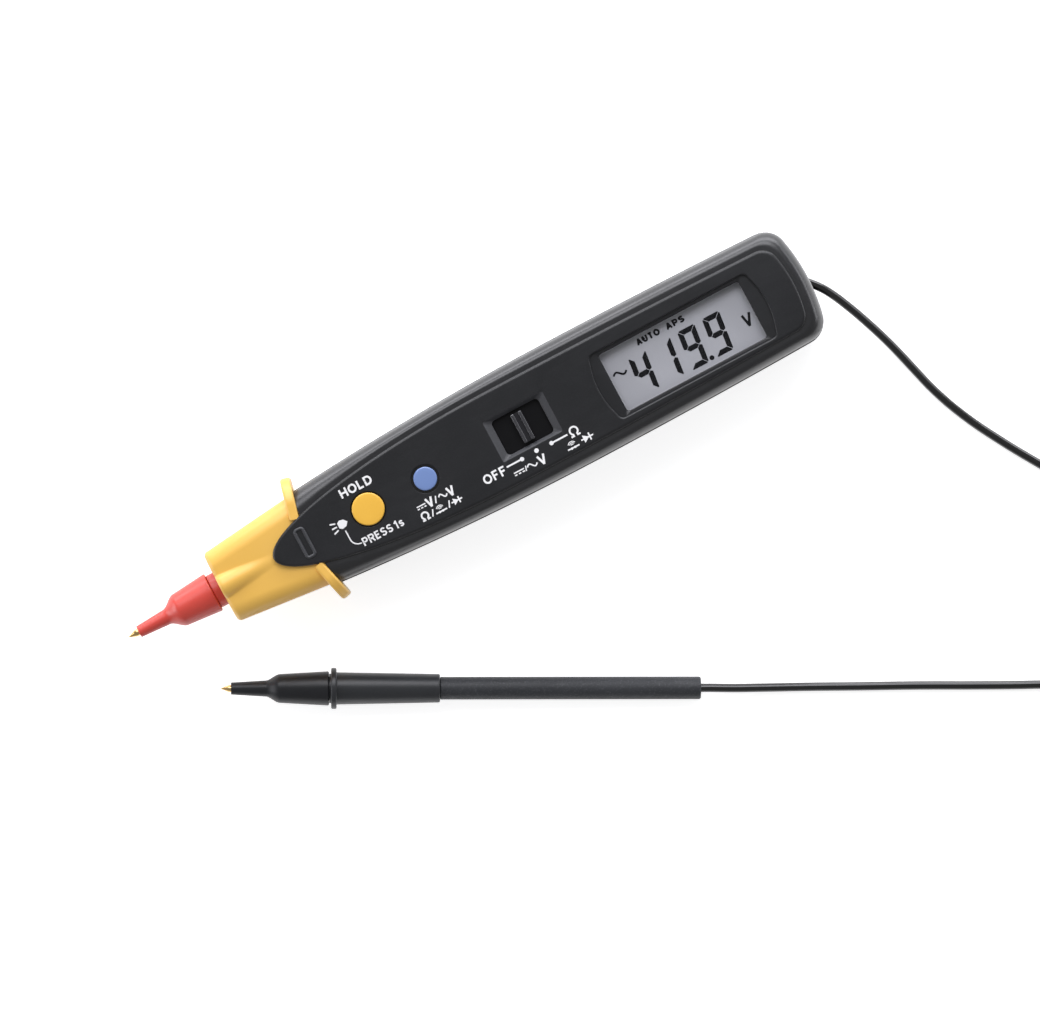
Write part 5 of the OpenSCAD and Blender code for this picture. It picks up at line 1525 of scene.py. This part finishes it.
@dataclass
class Keys(Common):
    """The two round push buttons and the slide switch's knob.

    Attributes:
        flange_gap: How far under the ceiling a button's flange rests.
        flange_t: The flange's thickness.
        stem_r: The radius of a button's stem.
        stem_z: The stem's lower end.
        button_r: The rounding of a button's edge.
        plate: Length and width of the knob's plate, which covers the recess's opening from below.
        plate_t: The plate's thickness.
        carrier: Length and width of the carrier under the plate.
        carrier_z: The carrier's lower end.
        grip: Length along the pen and width across it of the knob's grip.
        groove: The width of the groove between the grip's two ridges.
        ridge_r: The rounding of the ridges.
        drop: How far the ridges and the plate lie under the panel's top and the ceiling.
    """

    flange_gap: float = 0.05
    flange_t: float = 0.9
    stem_r: float = 1.5
    stem_z: float = 22.4
    button_r: float = 0.34
    plate: Flat = (22.0, 12.2)
    plate_t: float = 1.2
    carrier: Flat = (6.0, 7.0)
    carrier_z: float = 20.1
    grip: Flat = (2.9, 7.6)
    groove: float = 1.0
    ridge_r: float = 0.36
    drop: float = 0.15

    def button(self, name: str, at: Flat, radius: float, proud: float, flange: float,
               finish: Finish) -> bpy.types.Object:
        """A round button with a flange under the panel.

        Args:
            name: Its name.
            at: Its middle.
            radius: Its radius at the panel.
            proud: How far it stands above the panel.
            flange: The radius of its flange.
            finish: What it is finished in.

        Returns:
            The button.
        """
        top, ledge = self.panel_z + proud, self.ceiling_z - self.flange_gap
        under = ledge - self.flange_t
        profile = filleted([(top, 0, 0), (top - 0.02, radius * 0.6, 0), (top - 0.04, radius, self.button_r),
                            (ledge, radius, 0), (ledge, flange, 0), (under, flange, 0),
                            (under, self.stem_r, 0), (self.stem_z, self.stem_r, 0), (self.stem_z, 0, 0)])
        rings = [level(circle(*at, max(r, 0.0), 72), z) for z, r in profile]
        return loft(name, rings, finish, sharp=50.0)

    def knob(self) -> bpy.types.Object:
        """The slide knob's plate and carrier, and the web between its ridges.

        Returns:
            The new piece.
        """
        plate_top, edge = self.ceiling_z - self.drop, 0.1
        mesh = bmesh.new()
        for size, r, low, high in ((self.plate, 0.4, plate_top - self.plate_t, plate_top),
                                   (self.carrier, 0.3, self.carrier_z, plate_top - 1.1)):
            rows = ((edge, low), (0, low + edge), (0, high - edge), (edge, high))
            add_skin(mesh, [level(round_rect(*grown(size, -g), r, self.switch), z) for g, z in rows])
        web = round_rect(self.groove + 0.2, self.grip[1] - 0.2, 0.2, self.switch)
        web_top = self.panel_z - self.drop - 0.6
        add_skin(mesh, [level(web, z) for z in (plate_top - edge, web_top)])
        return piece_of("switch_slider", mesh, KNOB, 50.0)

    def ridges(self) -> bpy.types.Object:
        """The two rounded ridges of the knob's grip.

        Returns:
            The new piece.
        """
        top, foot, r = self.panel_z - self.drop, self.ceiling_z - self.drop - 0.1, self.ridge_r
        size = ((self.grip[0] - self.groove) / 2, self.grip[1])
        section = [(0.0, foot)] + [(r * (1 - c), top - r * (1 - s)) for c, s in arc(6)]
        mesh = bmesh.new()
        for side in (-1, 1):
            at = (self.switch[0] + side * (self.groove + size[0]) / 2, self.switch[1])
            add_skin(mesh, [level(round_rect(*grown(size, -g), r - 0.9 * g, at), z) for g, z in section])
        return piece_of("switch_ridges", mesh, RIDGE, 60.0)

    def build(self) -> None:
        """Builds and dresses the buttons and the knob."""
        hold = self.button("hold_key_cap", self.hold, 3.875, 0.45, 4.835, YELLOW_KEY)
        fit(hold, Body.HOLD_KEY, YELLOW_KEY, "hold_button")
        select = self.button("select_key_cap", self.select, 2.8, 0.2, 4.25, BLUE_KEY)
        fit(select, Body.SELECT_KEY, BLUE_KEY, "select_button")
        fit(self.knob(), Body.SLIDE_SWITCH, KNOB, "switch_knob")
        fit(self.ridges(), Body.SLIDE_SWITCH, RIDGE)


def wave(x: float, y: float, length: float, height: float, steps: int) -> list[Flat]:
    """One period of a sine wave, from its left end."""
    shares = [i / steps for i in range(steps + 1)]
    return [(x + length * t, y + height * math.sin(2 * math.pi * t)) for t in shares]


@dataclass
class Display(Common):
    """What the display shows: four slanted digits, a point and the signs round them.

    Attributes:
        low: The underside of the drawn marks.
        high: The lowest of their tops.
        first_x: Where the first digit starts, at its lower edge.
        pitch: How far one digit stands from the next.
        base_y: The digits' lower edge.
        height: A digit's height.
        width: Its width.
        bar: The width of its bars.
        gap: Half the gap between two bars.
        corner: How much is cut off its outer corners.
        lean: How far it leans for each millimetre of its height.
        digits: The letters of the bars that each digit shows.
        signs: The words round the digits, and what the method words takes for them.
    """

    low: float = 22.702
    high: float = 22.722
    first_x: float = 43.05
    pitch: float = 6.57
    base_y: float = -7.17
    height: float = 9.69
    width: float = 4.54
    bar: float = 1.26
    gap: float = 0.09
    corner: float = 0.42
    lean: float = 0.112
    digits: tuple[str, ...] = ("bcfg", "bc", "abcdfg", "abcdfg")
    signs: tuple[tuple[str, Flat, Flat, float, float], ...] = (
        ("AUTO", (47.65, 53.8), (4.02, 5.68), 0.28, 0.0), ("APS", (55.5, 60.3), (4.02, 5.68), 0.28, 0.0),
        ("V", (71.95, 74.45), (-4.25, -1.15), 0.2, 0.1))

    def bar_outline(self, name: str) -> list[Flat]:
        """The outline of one of a digit's seven bars, upright and from its own corner.

        Args:
            name: The bar's letter, from a at the top round to g in the middle.

        Returns:
            The points of the bar.
        """
        w, h, t, g, c = self.width, self.height, self.bar, self.gap, self.corner
        tall = [(0, h / 2 + g + 0.25 * t), (t / 2, h / 2 + g), (t, h / 2 + g + t / 2), (t, h - t - g),
                (c / 2, h - g - c / 2), (0, h - c)]
        outlines = {
            "a": [(c, h), (g + c / 2, h - c / 2), (g + t, h - t), (w - g - t, h - t),
                  (w - g - c / 2, h - c / 2), (w - c, h)],
            "f": tall,
            "g": [(t / 2 + g, h / 2), (t + g, h / 2 - t / 2), (w - t - g, h / 2 - t / 2),
                  (w - t / 2 - g, h / 2), (w - t - g, h / 2 + t / 2), (t + g, h / 2 + t / 2)],
        }
        outlines["d"] = [(x, h - y) for x, y in outlines["a"]]
        outlines["b"] = [(w - x, y) for x, y in tall]
        outlines["c"] = [(w - x, h - y) for x, y in tall]
        return outlines[name]

    def build(self) -> None:
        """Builds and dresses the digits, the signs and a pale ring painted on the glass as the highlight of
        the window opening's edge, and dresses the glass and the pane.
        """
        sheet = PrintSheet(self.low, self.high)
        for i, bars in enumerate(self.digits):
            start = self.first_x + self.pitch * i
            for name in bars:
                sheet.patch([(start + x + self.lean * y, self.base_y + y) for x, y in self.bar_outline(name)])
        sheet.dot((61.75, -6.6), 0.58)
        for sign in self.signs:
            sheet.words(*sign)
        sheet.stroke(wave(39.2, 0.35, 3.4, 0.55, 20), 0.48)
        fit(sheet.piece("lcd_segments", INK), Body.METER, INK)
        # A pale ring on the glass just inside the window opening, painted as the highlight of the opening's
        # edge
        section = ((0.4, self.low), (-0.24, self.low), (-0.24, self.high), (0.4, self.high))
        rim = [level(round_rect(*grown(self.view, g), 0.7, self.display), z) for g, z in section]
        fit(loft("lcd_edge_highlight", rim, PAINTED_EDGE_HIGHLIGHT, True), Body.METER, PAINTED_EDGE_HIGHLIGHT)
        dress(LCD, "lcd_glass")
        fit(merged_copy("display_window", "window_pane", PANE, edge=0.15), Body.METER, PANE, "display_window")


@dataclass
class PanelPrint:
    """The plain marks printed beside the keys and the switch.

    Attributes:
        low: The underside of the marks.
        high: The lowest of their tops.
        fine: The width of fine lines.
        bold: The width of bold lines.
        sheet: The layer that the marks are gathered in.
    """

    low: float = 25.99
    high: float = 26.012
    fine: float = 0.3
    bold: float = 0.42
    sheet: PrintSheet = field(init=False)

    def __post_init__(self) -> None:
        """Takes an empty sheet."""
        self.sheet = PrintSheet(self.low, self.high)

    def line(self, x0: float, y0: float, x1: float, y1: float, width: float) -> None:
        """Draws a straight line between two places."""
        self.sheet.stroke([(x0, y0), (x1, y1)], width)

    def dc_sign(self, x: float, y: float, length: float) -> None:
        """Draws a line over three dashes, from its left end.

        Args:
            x: Its left end.
            y: The level between the line and the dashes.
            length: Its length.
        """
        rise, dash = 0.3, length / 4.2
        self.line(x, y + rise, x + length, y + rise, self.fine)
        for i in range(3):
            start = x + i * (length - dash) / 2
            self.line(start, y - rise, start + dash, y - rise, self.fine)

    def ac_sign(self, x: float, y: float, length: float) -> None:
        """Draws one wave, from its left end."""
        self.sheet.stroke(wave(x, y, length, 0.5, 18), 0.34)

    def ohm_sign(self, x: float, y: float, size: float) -> None:
        """Draws an omega in a box of one size, from its lower left corner.

        Args:
            x: The box's left side.
            y: Its lower side.
            size: Its size.
        """
        r, foot = size * 0.4, y + 0.18
        cx, cy = x + size / 2, y + size - r - 0.05
        arch = [(cx + p[0], cy + p[1]) for p in (polar(r, -58 + 296 * i / 22) for i in range(23))]
        feet = [[(x + size, foot), (arch[0][0], foot)], [(arch[-1][0], foot), (x, foot)]]
        self.sheet.stroke(feet[0] + arch + feet[1], self.bold)

    def diode_sign(self, x: float, y: float, size: float) -> None:
        """Draws a diode whose middle is level with y, from its left end.

        Args:
            x: Its left end.
            y: The level of its middle.
            size: The triangle's size.
        """
        tip, half = x + 1.15 * size, 0.53 * size
        self.line(x, y, x + 1.75 * size, y, 0.34)
        self.sheet.patch([(x + 0.35 * size, y - half), (tip, y), (x + 0.35 * size, y + half)])
        self.line(x + 1.24 * size, y - 0.5 * size, x + 1.24 * size, y + 0.5 * size, 0.36)

    def sound_sign(self, x: float, y: float, size: float) -> None:
        """Draws the continuity sign, sound waves over a joined line, about the middle of the waves.

        Args:
            x: The middle of the waves.
            y: The same, across the pen.
            size: The size of the waves.
        """
        for r in (0.3 * size, 0.64 * size, 0.98 * size):
            self.sheet.stroke(bow(x, y, r, r, 28, 150), 0.2)
        base = y - 0.5 * size
        self.line(x - 1.4 * size, base, x + 1.5 * size, base, 0.34)
        for side in (-1, 1):
            self.sheet.dot((x + 0.42 * side * size, base - 0.04), 0.27 * size)

    def key_marks(self) -> None:
        """Draws the words by the keys and the switch, and the lit lamp with the line from it to its words."""
        for word in (("HOLD", (-30.8, -22.5), (4.97, 7.2), 0.21),
                     ("PRESS 1s", (-31.3, -20.6), (-7.35, -5.35), 0.19),
                     ("OFF", (0.55, 6.5), (-8.15, -5.85), 0.2)):
            self.sheet.words(*word)
        self.sheet.patch([(-34.6, -0.9), (-33.9, -1.35), (-32.9, -1.1), (-32.15, -0.25), (-32.9, 0.6),
                          (-33.9, 0.85), (-34.6, 0.4)])
        for y0, y1 in ((0.95, 0.55), (-0.3, -0.3), (-1.55, -1.15)):
            self.line(-36.3, y0, -35.0, y1, 0.36)
        bend = [(-31.6 + x, -4.3 - y) for x, y in (polar(2, 180 - 90 * i / 8) for i in range(9))]
        self.sheet.stroke([(-33.6, -1.95)] + bend, self.fine)

    def select_marks(self) -> None:
        """Draws what the select key chooses from: volts over resistance, continuity and diode."""
        self.dc_sign(-16.3, -5.42, 2.3)
        self.sheet.words("V", (-13.9, -11.95), (-6.58, -4.2), 0.22)
        self.line(-11.75, -6.3, -11.1, -4.7, 0.32)
        self.ac_sign(-10.55, -5.4, 2.15)
        self.sheet.words("V", (-8.35, -6.4), (-6.58, -4.2), 0.22)
        self.ohm_sign(-16.45, -8.85, 2.05)
        self.line(-13.85, -8.75, -13.15, -7.15, 0.32)
        self.sound_sign(-11.48, -8.05, 1.0)
        self.line(-9.45, -8.75, -8.78, -7.15, 0.32)
        self.diode_sign(-8.5, -8.0, 1.6)

    def switch_marks(self) -> None:
        """Draws the slide switch's three positions."""
        self.line(6.9, -6.66, 10.98, -6.66, self.bold)
        for at, radius in (((10.98, -6.66), 0.52), ((14.93, -6.5), 0.55), ((18.88, -6.6), 0.52)):
            self.sheet.dot(at, radius)
        self.line(18.88, -6.6, 23.1, -6.6, self.bold)
        self.ohm_sign(23.65, -7.85, 2.4)
        self.dc_sign(7.7, -9.08, 2.65)
        self.line(10.62, -9.6, 10.98, -8.4, 0.28)
        self.ac_sign(11.2, -9.0, 2.55)
        self.sheet.words("V", (14.05, 16.2), (-10.2, -7.75), 0.22)
        self.sound_sign(22.98, -9.45, 1.05)
        self.diode_sign(25.35, -9.35, 1.82)

    def build(self) -> None:
        """Builds and dresses the print."""
        self.key_marks()
        self.select_marks()
        self.switch_marks()
        fit(self.sheet.piece("panel_print", PRINT), Body.METER, PRINT)


@dataclass
class Lead:
    """The lead, from the tail through its put away coil to the probe, and its strain relief.

    Attributes:
        radius: The lead's radius.
        start: Where it leaves the strain relief.
        probe_heading: The direction from the probe's rear towards its pin.
        probe_end: Where the lead enters the probe.
        straight: Length of the straight stretches at the coil's ends and at the probe.
        coil_at: The coil's middle.
        coil_r: The radius of its outermost turn.
        pitch: How far one turn lies from the next, across and upwards.
        inward: How many turns lie on the floor, from the outside in.
        turns: How many turns there are.
        climb: How many turns it takes to climb onto the lower layer.
        first_angle: Where on its first turn the coil starts, in degrees.
        turn_points: How many points each turn is drawn through.
        tail_route: The route from the tail to the coil, as listed.
        probe_route: The route from the probe to the coil's end, as listed.
        relief_x: The strain relief's two ends.
        relief_r: The radii of its flange, its neck, and its taper's two ends.
        relief_bore: The radius of its bore.
    """

    radius: float = 1.05
    start: Spot = (86.15, 0.0, 6.6)
    probe_heading: Spot = (0.882664, -0.469321, -0.025359)
    probe_end: Spot = (23.0, -74.596, 2.6915)
    straight: float = 2.1
    coil_at: Flat = (126.7, -103.4)
    coil_r: float = 15.9
    pitch: float = 2.6
    inward: float = 2.925
    turns: float = 6.35
    climb: float = 0.5
    first_angle: float = 38.0
    turn_points: int = 36
    tail_route: tuple[Spot, ...] = (
        (88.2, 0, 6.6), (90, -0.8, 6.5), (91.4, -2.2, 6.3), (92.9, -4, 5.9), (94.3, -6.2, 5.4),
        (96.8, -11.4, 4.1), (98.9, -16.6, 2.9), (100.8, -21.9, 1.9), (102.2, -26.5, 1.3), (103.4, -31, 1.06),
        (105.5, -38.5, 1.06), (108.8, -46.8, 1.06), (113.4, -55.6, 1.06), (119, -65, 1.06),
        (125.2, -74.6, 1.06), (130.8, -82.8, 1.06))
    probe_route: tuple[Spot, ...] = (
        (30, -78.4, 2.1), (37, -82, 1.4), (46, -86.6, 1.06), (56, -91.8, 1.06), (69, -98.5, 1.06),
        (82, -105.4, 1.06), (94, -111.6, 1.06), (102, -115.4, 1.06), (110, -118, 1.4), (117, -119.1, 2.4),
        (121.5, -119.4, 3.4))
    relief_x: Flat = (81.45, 86.15)
    relief_r: tuple[float, float, float, float] = (2.9, 1.7, 2.5, 1.55)
    relief_bore: float = 1.075

    def coil(self) -> list[Vector]:
        """The coil's turns, inward on the floor and outward on top of them, with its straight ends.

        Returns:
            The points of its middle line.
        """
        inner = self.coil_r - self.pitch * self.inward
        points = []
        count = round(self.turns * self.turn_points)
        for i in range(count + 1):
            t = self.turns * i / count
            u = t - self.inward
            if u < 0:
                r = self.coil_r - self.pitch * t
            elif u < self.climb:
                r = inner - self.pitch * u + self.pitch * u * u / self.climb
            else:
                r = inner + self.pitch * (u - self.climb)
            z = self.radius + 0.01 + self.pitch * eased(min(max(u / self.climb, 0), 1))
            x, y = polar(r, self.first_angle - 360 * t)
            points.append(Vector((self.coil_at[0] + x, self.coil_at[1] + y, z)))
        lead_in = self.heading(0) * self.straight
        return [points[0] - lead_in] + points + [points[-1] + self.heading(self.turns) * self.straight]

    def heading(self, turn: float) -> Vector:
        """The way that the lead runs after some of the coil's turns."""
        x, y = polar(1, self.first_angle - 360 * turn)
        return Vector((y, -x, 0))

    def route(self) -> list[Vector]:
        """The lead's middle line from the tail to the probe.

        Returns:
            The points of the line.
        """
        coil = self.coil()
        end = Vector(self.probe_end)
        leaving = [end, end + Vector(self.probe_heading) * self.straight]
        leaving += [Vector(p) for p in self.probe_route]
        arriving = [Vector(p) for p in (self.start, *self.tail_route)]
        return arriving + [coil[0] - self.heading(0) * self.straight * 1.6] + coil + leaving[::-1]

    def cord(self) -> bpy.types.Object:
        """The lead as one open curve, whose real length is logged.

        Returns:
            The lead.
        """
        route = self.route()
        curve = bpy.data.curves.new("test_lead", "CURVE")
        curve.dimensions, curve.bevel_depth, curve.bevel_resolution = "3D", self.radius * MM, 5
        curve.use_fill_caps, curve.resolution_u, curve.render_resolution_u = True, 4, 4
        spline = curve.splines.new("BEZIER")
        spline.bezier_points.add(len(route) - 1)
        for knot, spot in zip(spline.bezier_points, route):
            knot.co = spot * MM
            knot.handle_left_type = knot.handle_right_type = "AUTO"
        curve.materials.append(SHEATH.material())
        lead = placed("test_lead", curve)
        real = sum((b - a).length for a, b in zip(route, route[1:])) * MM
        log.info("the lead is %.3f m long", real)
        tuple(c * MM for c in self.start)
        return lead

    def relief(self) -> bpy.types.Object:
        """The strain relief in the tail: a flange behind the wall, a neck and a ringed taper.

        Returns:
            The new piece.
        """
        start, end = self.relief_x
        flange_r, neck_r, root_r, end_r = self.relief_r
        neck, taper = start + 1.3, start + 2.8
        profile = [(start, self.relief_bore, 0), (start, flange_r, 0.2), (neck, flange_r, 0.2),
                   (neck, neck_r, 0), (taper, neck_r, 0), (taper, root_r, 0.15)]
        for station in (84.62, 85.12, 85.62):
            r = mixed(root_r, end_r, (station - taper) / (end - taper))
            profile += [(station, r, 0.06), (station + 0.08, r - 0.3, 0.04), (station + 0.25, r - 0.3, 0.04),
                        (station + 0.33, r - 0.17, 0.06)]
        profile += [(end, end_r, 0.12), (end, self.relief_bore, 0)]
        axis = Axis((0, 0, self.start[2]), (1, 0, 0))
        return axis.turned("strain_relief", filleted(profile, 3), RUBBER, hollow=True, sides=40)

    def build(self) -> None:
        """Builds and dresses the lead and its strain relief."""
        fit(self.cord(), Body.METER, SHEATH, "cord_tail", "cord_coil", "cord_probe")
        fit(self.relief(), Body.METER, RUBBER, "cord_grommet")


@dataclass
class Probe:
    """The second probe on the lead: its pin, capped nose, finger ring and grained barrel.

    Attributes:
        axis: The line that it is turned about, from its pin's point.
        pin_end: Station of the pin's inner end.
        nose: Stations of the end of its nose, which the cap pushes onto, and of the collar behind it.
        nose_r: The nose's radius.
        collar_r: The collar's radius.
        ring: Stations of the finger ring's two faces.
        ring_r: The ring's radius.
        grip_r: The grip's radius behind the ring and at its end.
        grip_end: Station of the grip's end, at the barrel.
        seat: Station where the bore widens for the pin's crimped end and the barrel.
        seat_r: Radius of the bore behind that.
        spigot: Station of the end of the barrel's spigot inside the grip.
        barrel_end: Station of the barrel's end.
        barrel_r: The barrel's radius.
        pin_bore: Radius of the bore round the pin.
        lead_bore: Radius of the bore round the lead.
        cap: The cap over its pin.
    """

    axis: Axis = Axis((-77.8, -21.0, 5.5876), (0.882664, -0.469321, -0.025359))
    pin_end: float = 36.0
    nose: Flat = (16.846, 25.75)
    nose_r: float = 2.8
    collar_r: float = 3.526
    ring: Flat = (26.2, 27.5)
    ring_r: float = 4.9
    grip_r: Flat = (3.85, 3.4)
    grip_end: float = 52.1
    seat: float = 31.25
    seat_r: float = 2.2
    spigot: float = 40.1
    barrel_end: float = 114.2
    barrel_r: float = 2.7
    pin_bore: float = 0.925
    lead_bore: float = 1.075
    cap: PushCap = PushCap(2.4, 25.7, flare_l=3.6, body_l=11.6, body_r=4.1, socket_l=9.0)

    def grip(self) -> list[Flat]:
        """The profile of the handle, closed round its bore."""
        (tip, collar), (front, back), end = self.nose, self.ring, self.grip_end
        return filleted([
            (tip, self.pin_bore, 0), (tip, self.nose_r, 0.3), (collar, self.nose_r, 0),
            (collar, self.collar_r, 0.15), (front, self.collar_r, 0), (front, self.ring_r, 0.4),
            (back, self.ring_r, 0.4), (back, self.grip_r[0], 0.2), (end, self.grip_r[1], 0.4),
            (end, self.seat_r, 0), (self.seat, self.seat_r, 0), (self.seat, self.pin_bore, 0)])

    def barrel(self) -> list[Flat]:
        """The profile of the barrel and its spigot, closed round the lead's bore."""
        shoulder, spigot_r = self.grip_end + 0.05, self.seat_r - 0.05
        return filleted([
            (self.spigot, self.lead_bore, 0), (self.spigot, spigot_r, 0), (shoulder, spigot_r, 0),
            (shoulder, self.barrel_r, 0.35), (self.barrel_end, self.barrel_r, 0.5),
            (self.barrel_end, self.lead_bore, 0)])

    def build(self) -> None:
        """Builds and dresses the probe."""
        turned = self.axis.turned
        pin = turned("probe_pin_body", pin_profile(0, self.pin_end), GOLD, sides=40)
        fit(pin, Body.METER, GOLD, "probe_pin")
        fit(turned("probe_grip", self.grip(), PROBE, hollow=True), Body.METER, PROBE, "probe_handle")
        stem = turned("probe_stem", self.barrel(), PROBE_GRAIN, hollow=True)
        fit(stem, Body.METER, PROBE_GRAIN, "probe_barrel")
        cap = turned("probe_cap_body", self.cap.profile(), PROBE_CAP, hollow=True)
        fit(cap, Body.PROBE_CAP, PROBE_CAP, "probe_cap")


@dataclass
class Inside:
    """What the case holds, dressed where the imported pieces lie.

    Attributes:
        finishes: Each finish, and the CAD nodes that are dressed in it.
    """

    finishes: tuple[tuple[Finish, tuple[str, ...]], ...] = (
        (BRASS, ("tip_contact", "switch_wiper")),
        (TINNED, ("lamp_legs", "cell_spring", "cover_contact", "side_contact", "probe_ferrule")),
        (WHITE, ("lcd_frame",)), (PINK, ("zebra_strips",)), (BOARD, ("main_board",)),
        (CHIP, ("meter_chip", "buzzer")), (RESISTOR, ("input_resistors",)),
        (PLUNGER, ("hold_plunger", "select_plunger")), (TIN_COVER, ("hold_switch", "select_switch")),
        (CAN, ("lower_cell", "upper_cell")), (SHEATH, ("inner_lead", "probe_lead")))

    def build(self) -> None:
        """Dresses the inner pieces."""
        for finish, nodes in self.finishes:
            dress(finish, *nodes)


# The picture


@dataclass
class Studio:
    """The camera high over the pen, the lamps and the white table.

    Attributes:
        aim: The place on the table that the picture is centred on, in millimetres.
        across: The direction on the table that runs to the right in the picture.
        distance: How high the camera hangs, in millimetres.
        lens: Its focal length, on a sensor 36 mm wide.
        away: How far away the lamps hang, in metres.
        tint: The lamps' colour, a little cool.
        fill: The level of the even light from all round.
        lamps: What each lamp is called, and what the method lamp takes for it.
        table_half: Half the table's side, in metres.
        table_z: The table's height, a hair under the part, in metres.
        table_grey: How much light the table's card throws back.
        table_glow: How bright the table looks before any light falls on it.
    """

    aim: Flat = (4.15, -18.46)
    across: Flat = (0.8825, -0.4704)
    distance: float = 2066.0
    lens: float = 300.0
    away: float = 0.8
    tint: tuple[float, float, float] = (0.95, 0.95, 1.0)
    fill: float = 0.32
    lamps: tuple[tuple[str, Flat, float, Flat, float], ...] = (
        ("window", (0.3, 0.95), 50.0, (0.8, 0.44), 4.1),
        ("low card", (0.42, 0.91), 13.0, (1.5, 0.34), 5.2),
        ("left card", (-0.92, 0.4), 16.0, (0.6, 0.26), 4.6),
        ("right card", (0.92, -0.1), 16.0, (0.6, 0.26), 2.8),
        ("rim card", (-0.47, -0.88), 4.0, (1.2, 0.08), 0.6))
    table_half: float = 2.0
    table_z: float = -0.00005
    table_grey: float = 0.82
    table_glow: float = 0.72

    def camera(self) -> None:
        """Hangs the camera over the table, looking straight down."""
        data = bpy.data.cameras.new("overhead")
        data.lens, data.sensor_width, data.sensor_fit = self.lens, 36.0, "HORIZONTAL"
        data.clip_start, data.clip_end = 0.1, 20.0
        eye = placed("overhead", data)
        x, y = self.across
        turn = Matrix(((x, -y, 0.0), (y, x, 0.0), (0.0, 0.0, 1.0)))
        place = (self.aim[0] * MM, self.aim[1] * MM, self.distance * MM)
        eye.matrix_world = Matrix.Translation(place) @ turn.to_4x4()
        bpy.context.scene.camera = eye

    def lamp(self, name: str, towards: Flat, elevation: float, size: Flat, level: float) -> None:
        """Hangs one soft lamp.

        Args:
            name: Its name.
            towards: The direction on the table that it hangs in, seen from the pen.
            elevation: How high it hangs, in degrees over the table.
            size: Its width and height, in metres.
            level: How bright its face is, where white paper in full light is 1.
        """
        data = bpy.data.lights.new(name, "AREA")
        data.shape, data.size, data.size_y = "RECTANGLE", size[0], size[1]
        data.energy = level * math.pi * size[0] * size[1]
        data.color = self.tint
        lamp = placed(name, data)
        flat = Vector((*towards, 0)).normalized() * math.cos(math.radians(elevation))
        place = (flat + Vector((0, 0, math.sin(math.radians(elevation))))) * self.away
        lamp.location = place + Vector((self.aim[0] * MM, self.aim[1] * MM, 0))
        lamp.rotation_euler = place.to_track_quat("Z", "Y").to_euler()

    def table_material(self) -> bpy.types.Material:
        """White card that glows to the camera and to what mirrors it, so that it shows near white.

        Returns:
            The material.
        """
        made = bpy.data.materials.new("white_table")
        made.use_nodes = True
        wiring = Wiring(made.node_tree)
        path = wiring.add("ShaderNodeLightPath").outputs
        mirrored = wiring.figure("MAXIMUM", path["Is Glossy Ray"], path["Is Transmission Ray"])
        seen = wiring.figure("MAXIMUM", path["Is Camera Ray"], mirrored)
        strength = wiring.figure("MULTIPLY", seen, self.table_glow)
        glow = wiring.add("ShaderNodeEmission", {"Color": (1.0, 1.0, 1.0, 1.0), "Strength": strength})
        card = wiring.add("ShaderNodeBsdfDiffuse", {"Color": (*[self.table_grey] * 3, 1.0)})
        both = wiring.add("ShaderNodeAddShader", {0: card.outputs[0], 1: glow.outputs[0]})
        wiring.add("ShaderNodeOutputMaterial", {"Surface": both.outputs[0]})
        return made

    def table(self) -> None:
        """Lays the table under the pen."""
        half = self.table_half
        corners = [(-half, -half), (half, -half), (half, half), (-half, half)]
        data = bpy.data.meshes.new("table")
        data.from_pydata([(x, y, self.table_z) for x, y in corners], [], [(0, 1, 2, 3)])
        data.materials.append(self.table_material())
        table = placed("table", data)

    def build(self) -> None:
        """Sets up the lamps, the even light and the table."""
        for lamp in self.lamps:
            self.lamp(*lamp)
        world = bpy.data.worlds.new("even light")
        world.use_nodes = True
        light = world.node_tree.nodes["Background"].inputs
        light["Color"].default_value = (1.0, 1.0, 1.0, 1.0)
        light["Strength"].default_value = self.fill
        bpy.context.scene.world = world
        bpy.context.scene.view_settings.view_transform = "Standard"
        self.table()


def main() -> None:
    """Sets up the picture, then builds and dresses the pen and its probe."""
    logging.basicConfig(level=logging.INFO, format="%(message)s")
    studio = Studio()
    studio.camera()
    pen = (Lead(), Case(), Nose(), TestTip(), Keys(), Display(), PanelPrint(), Probe(), Inside())
    for assembly in (*pen, studio):
        assembly.build()


if __name__ == "__main__":
    main()
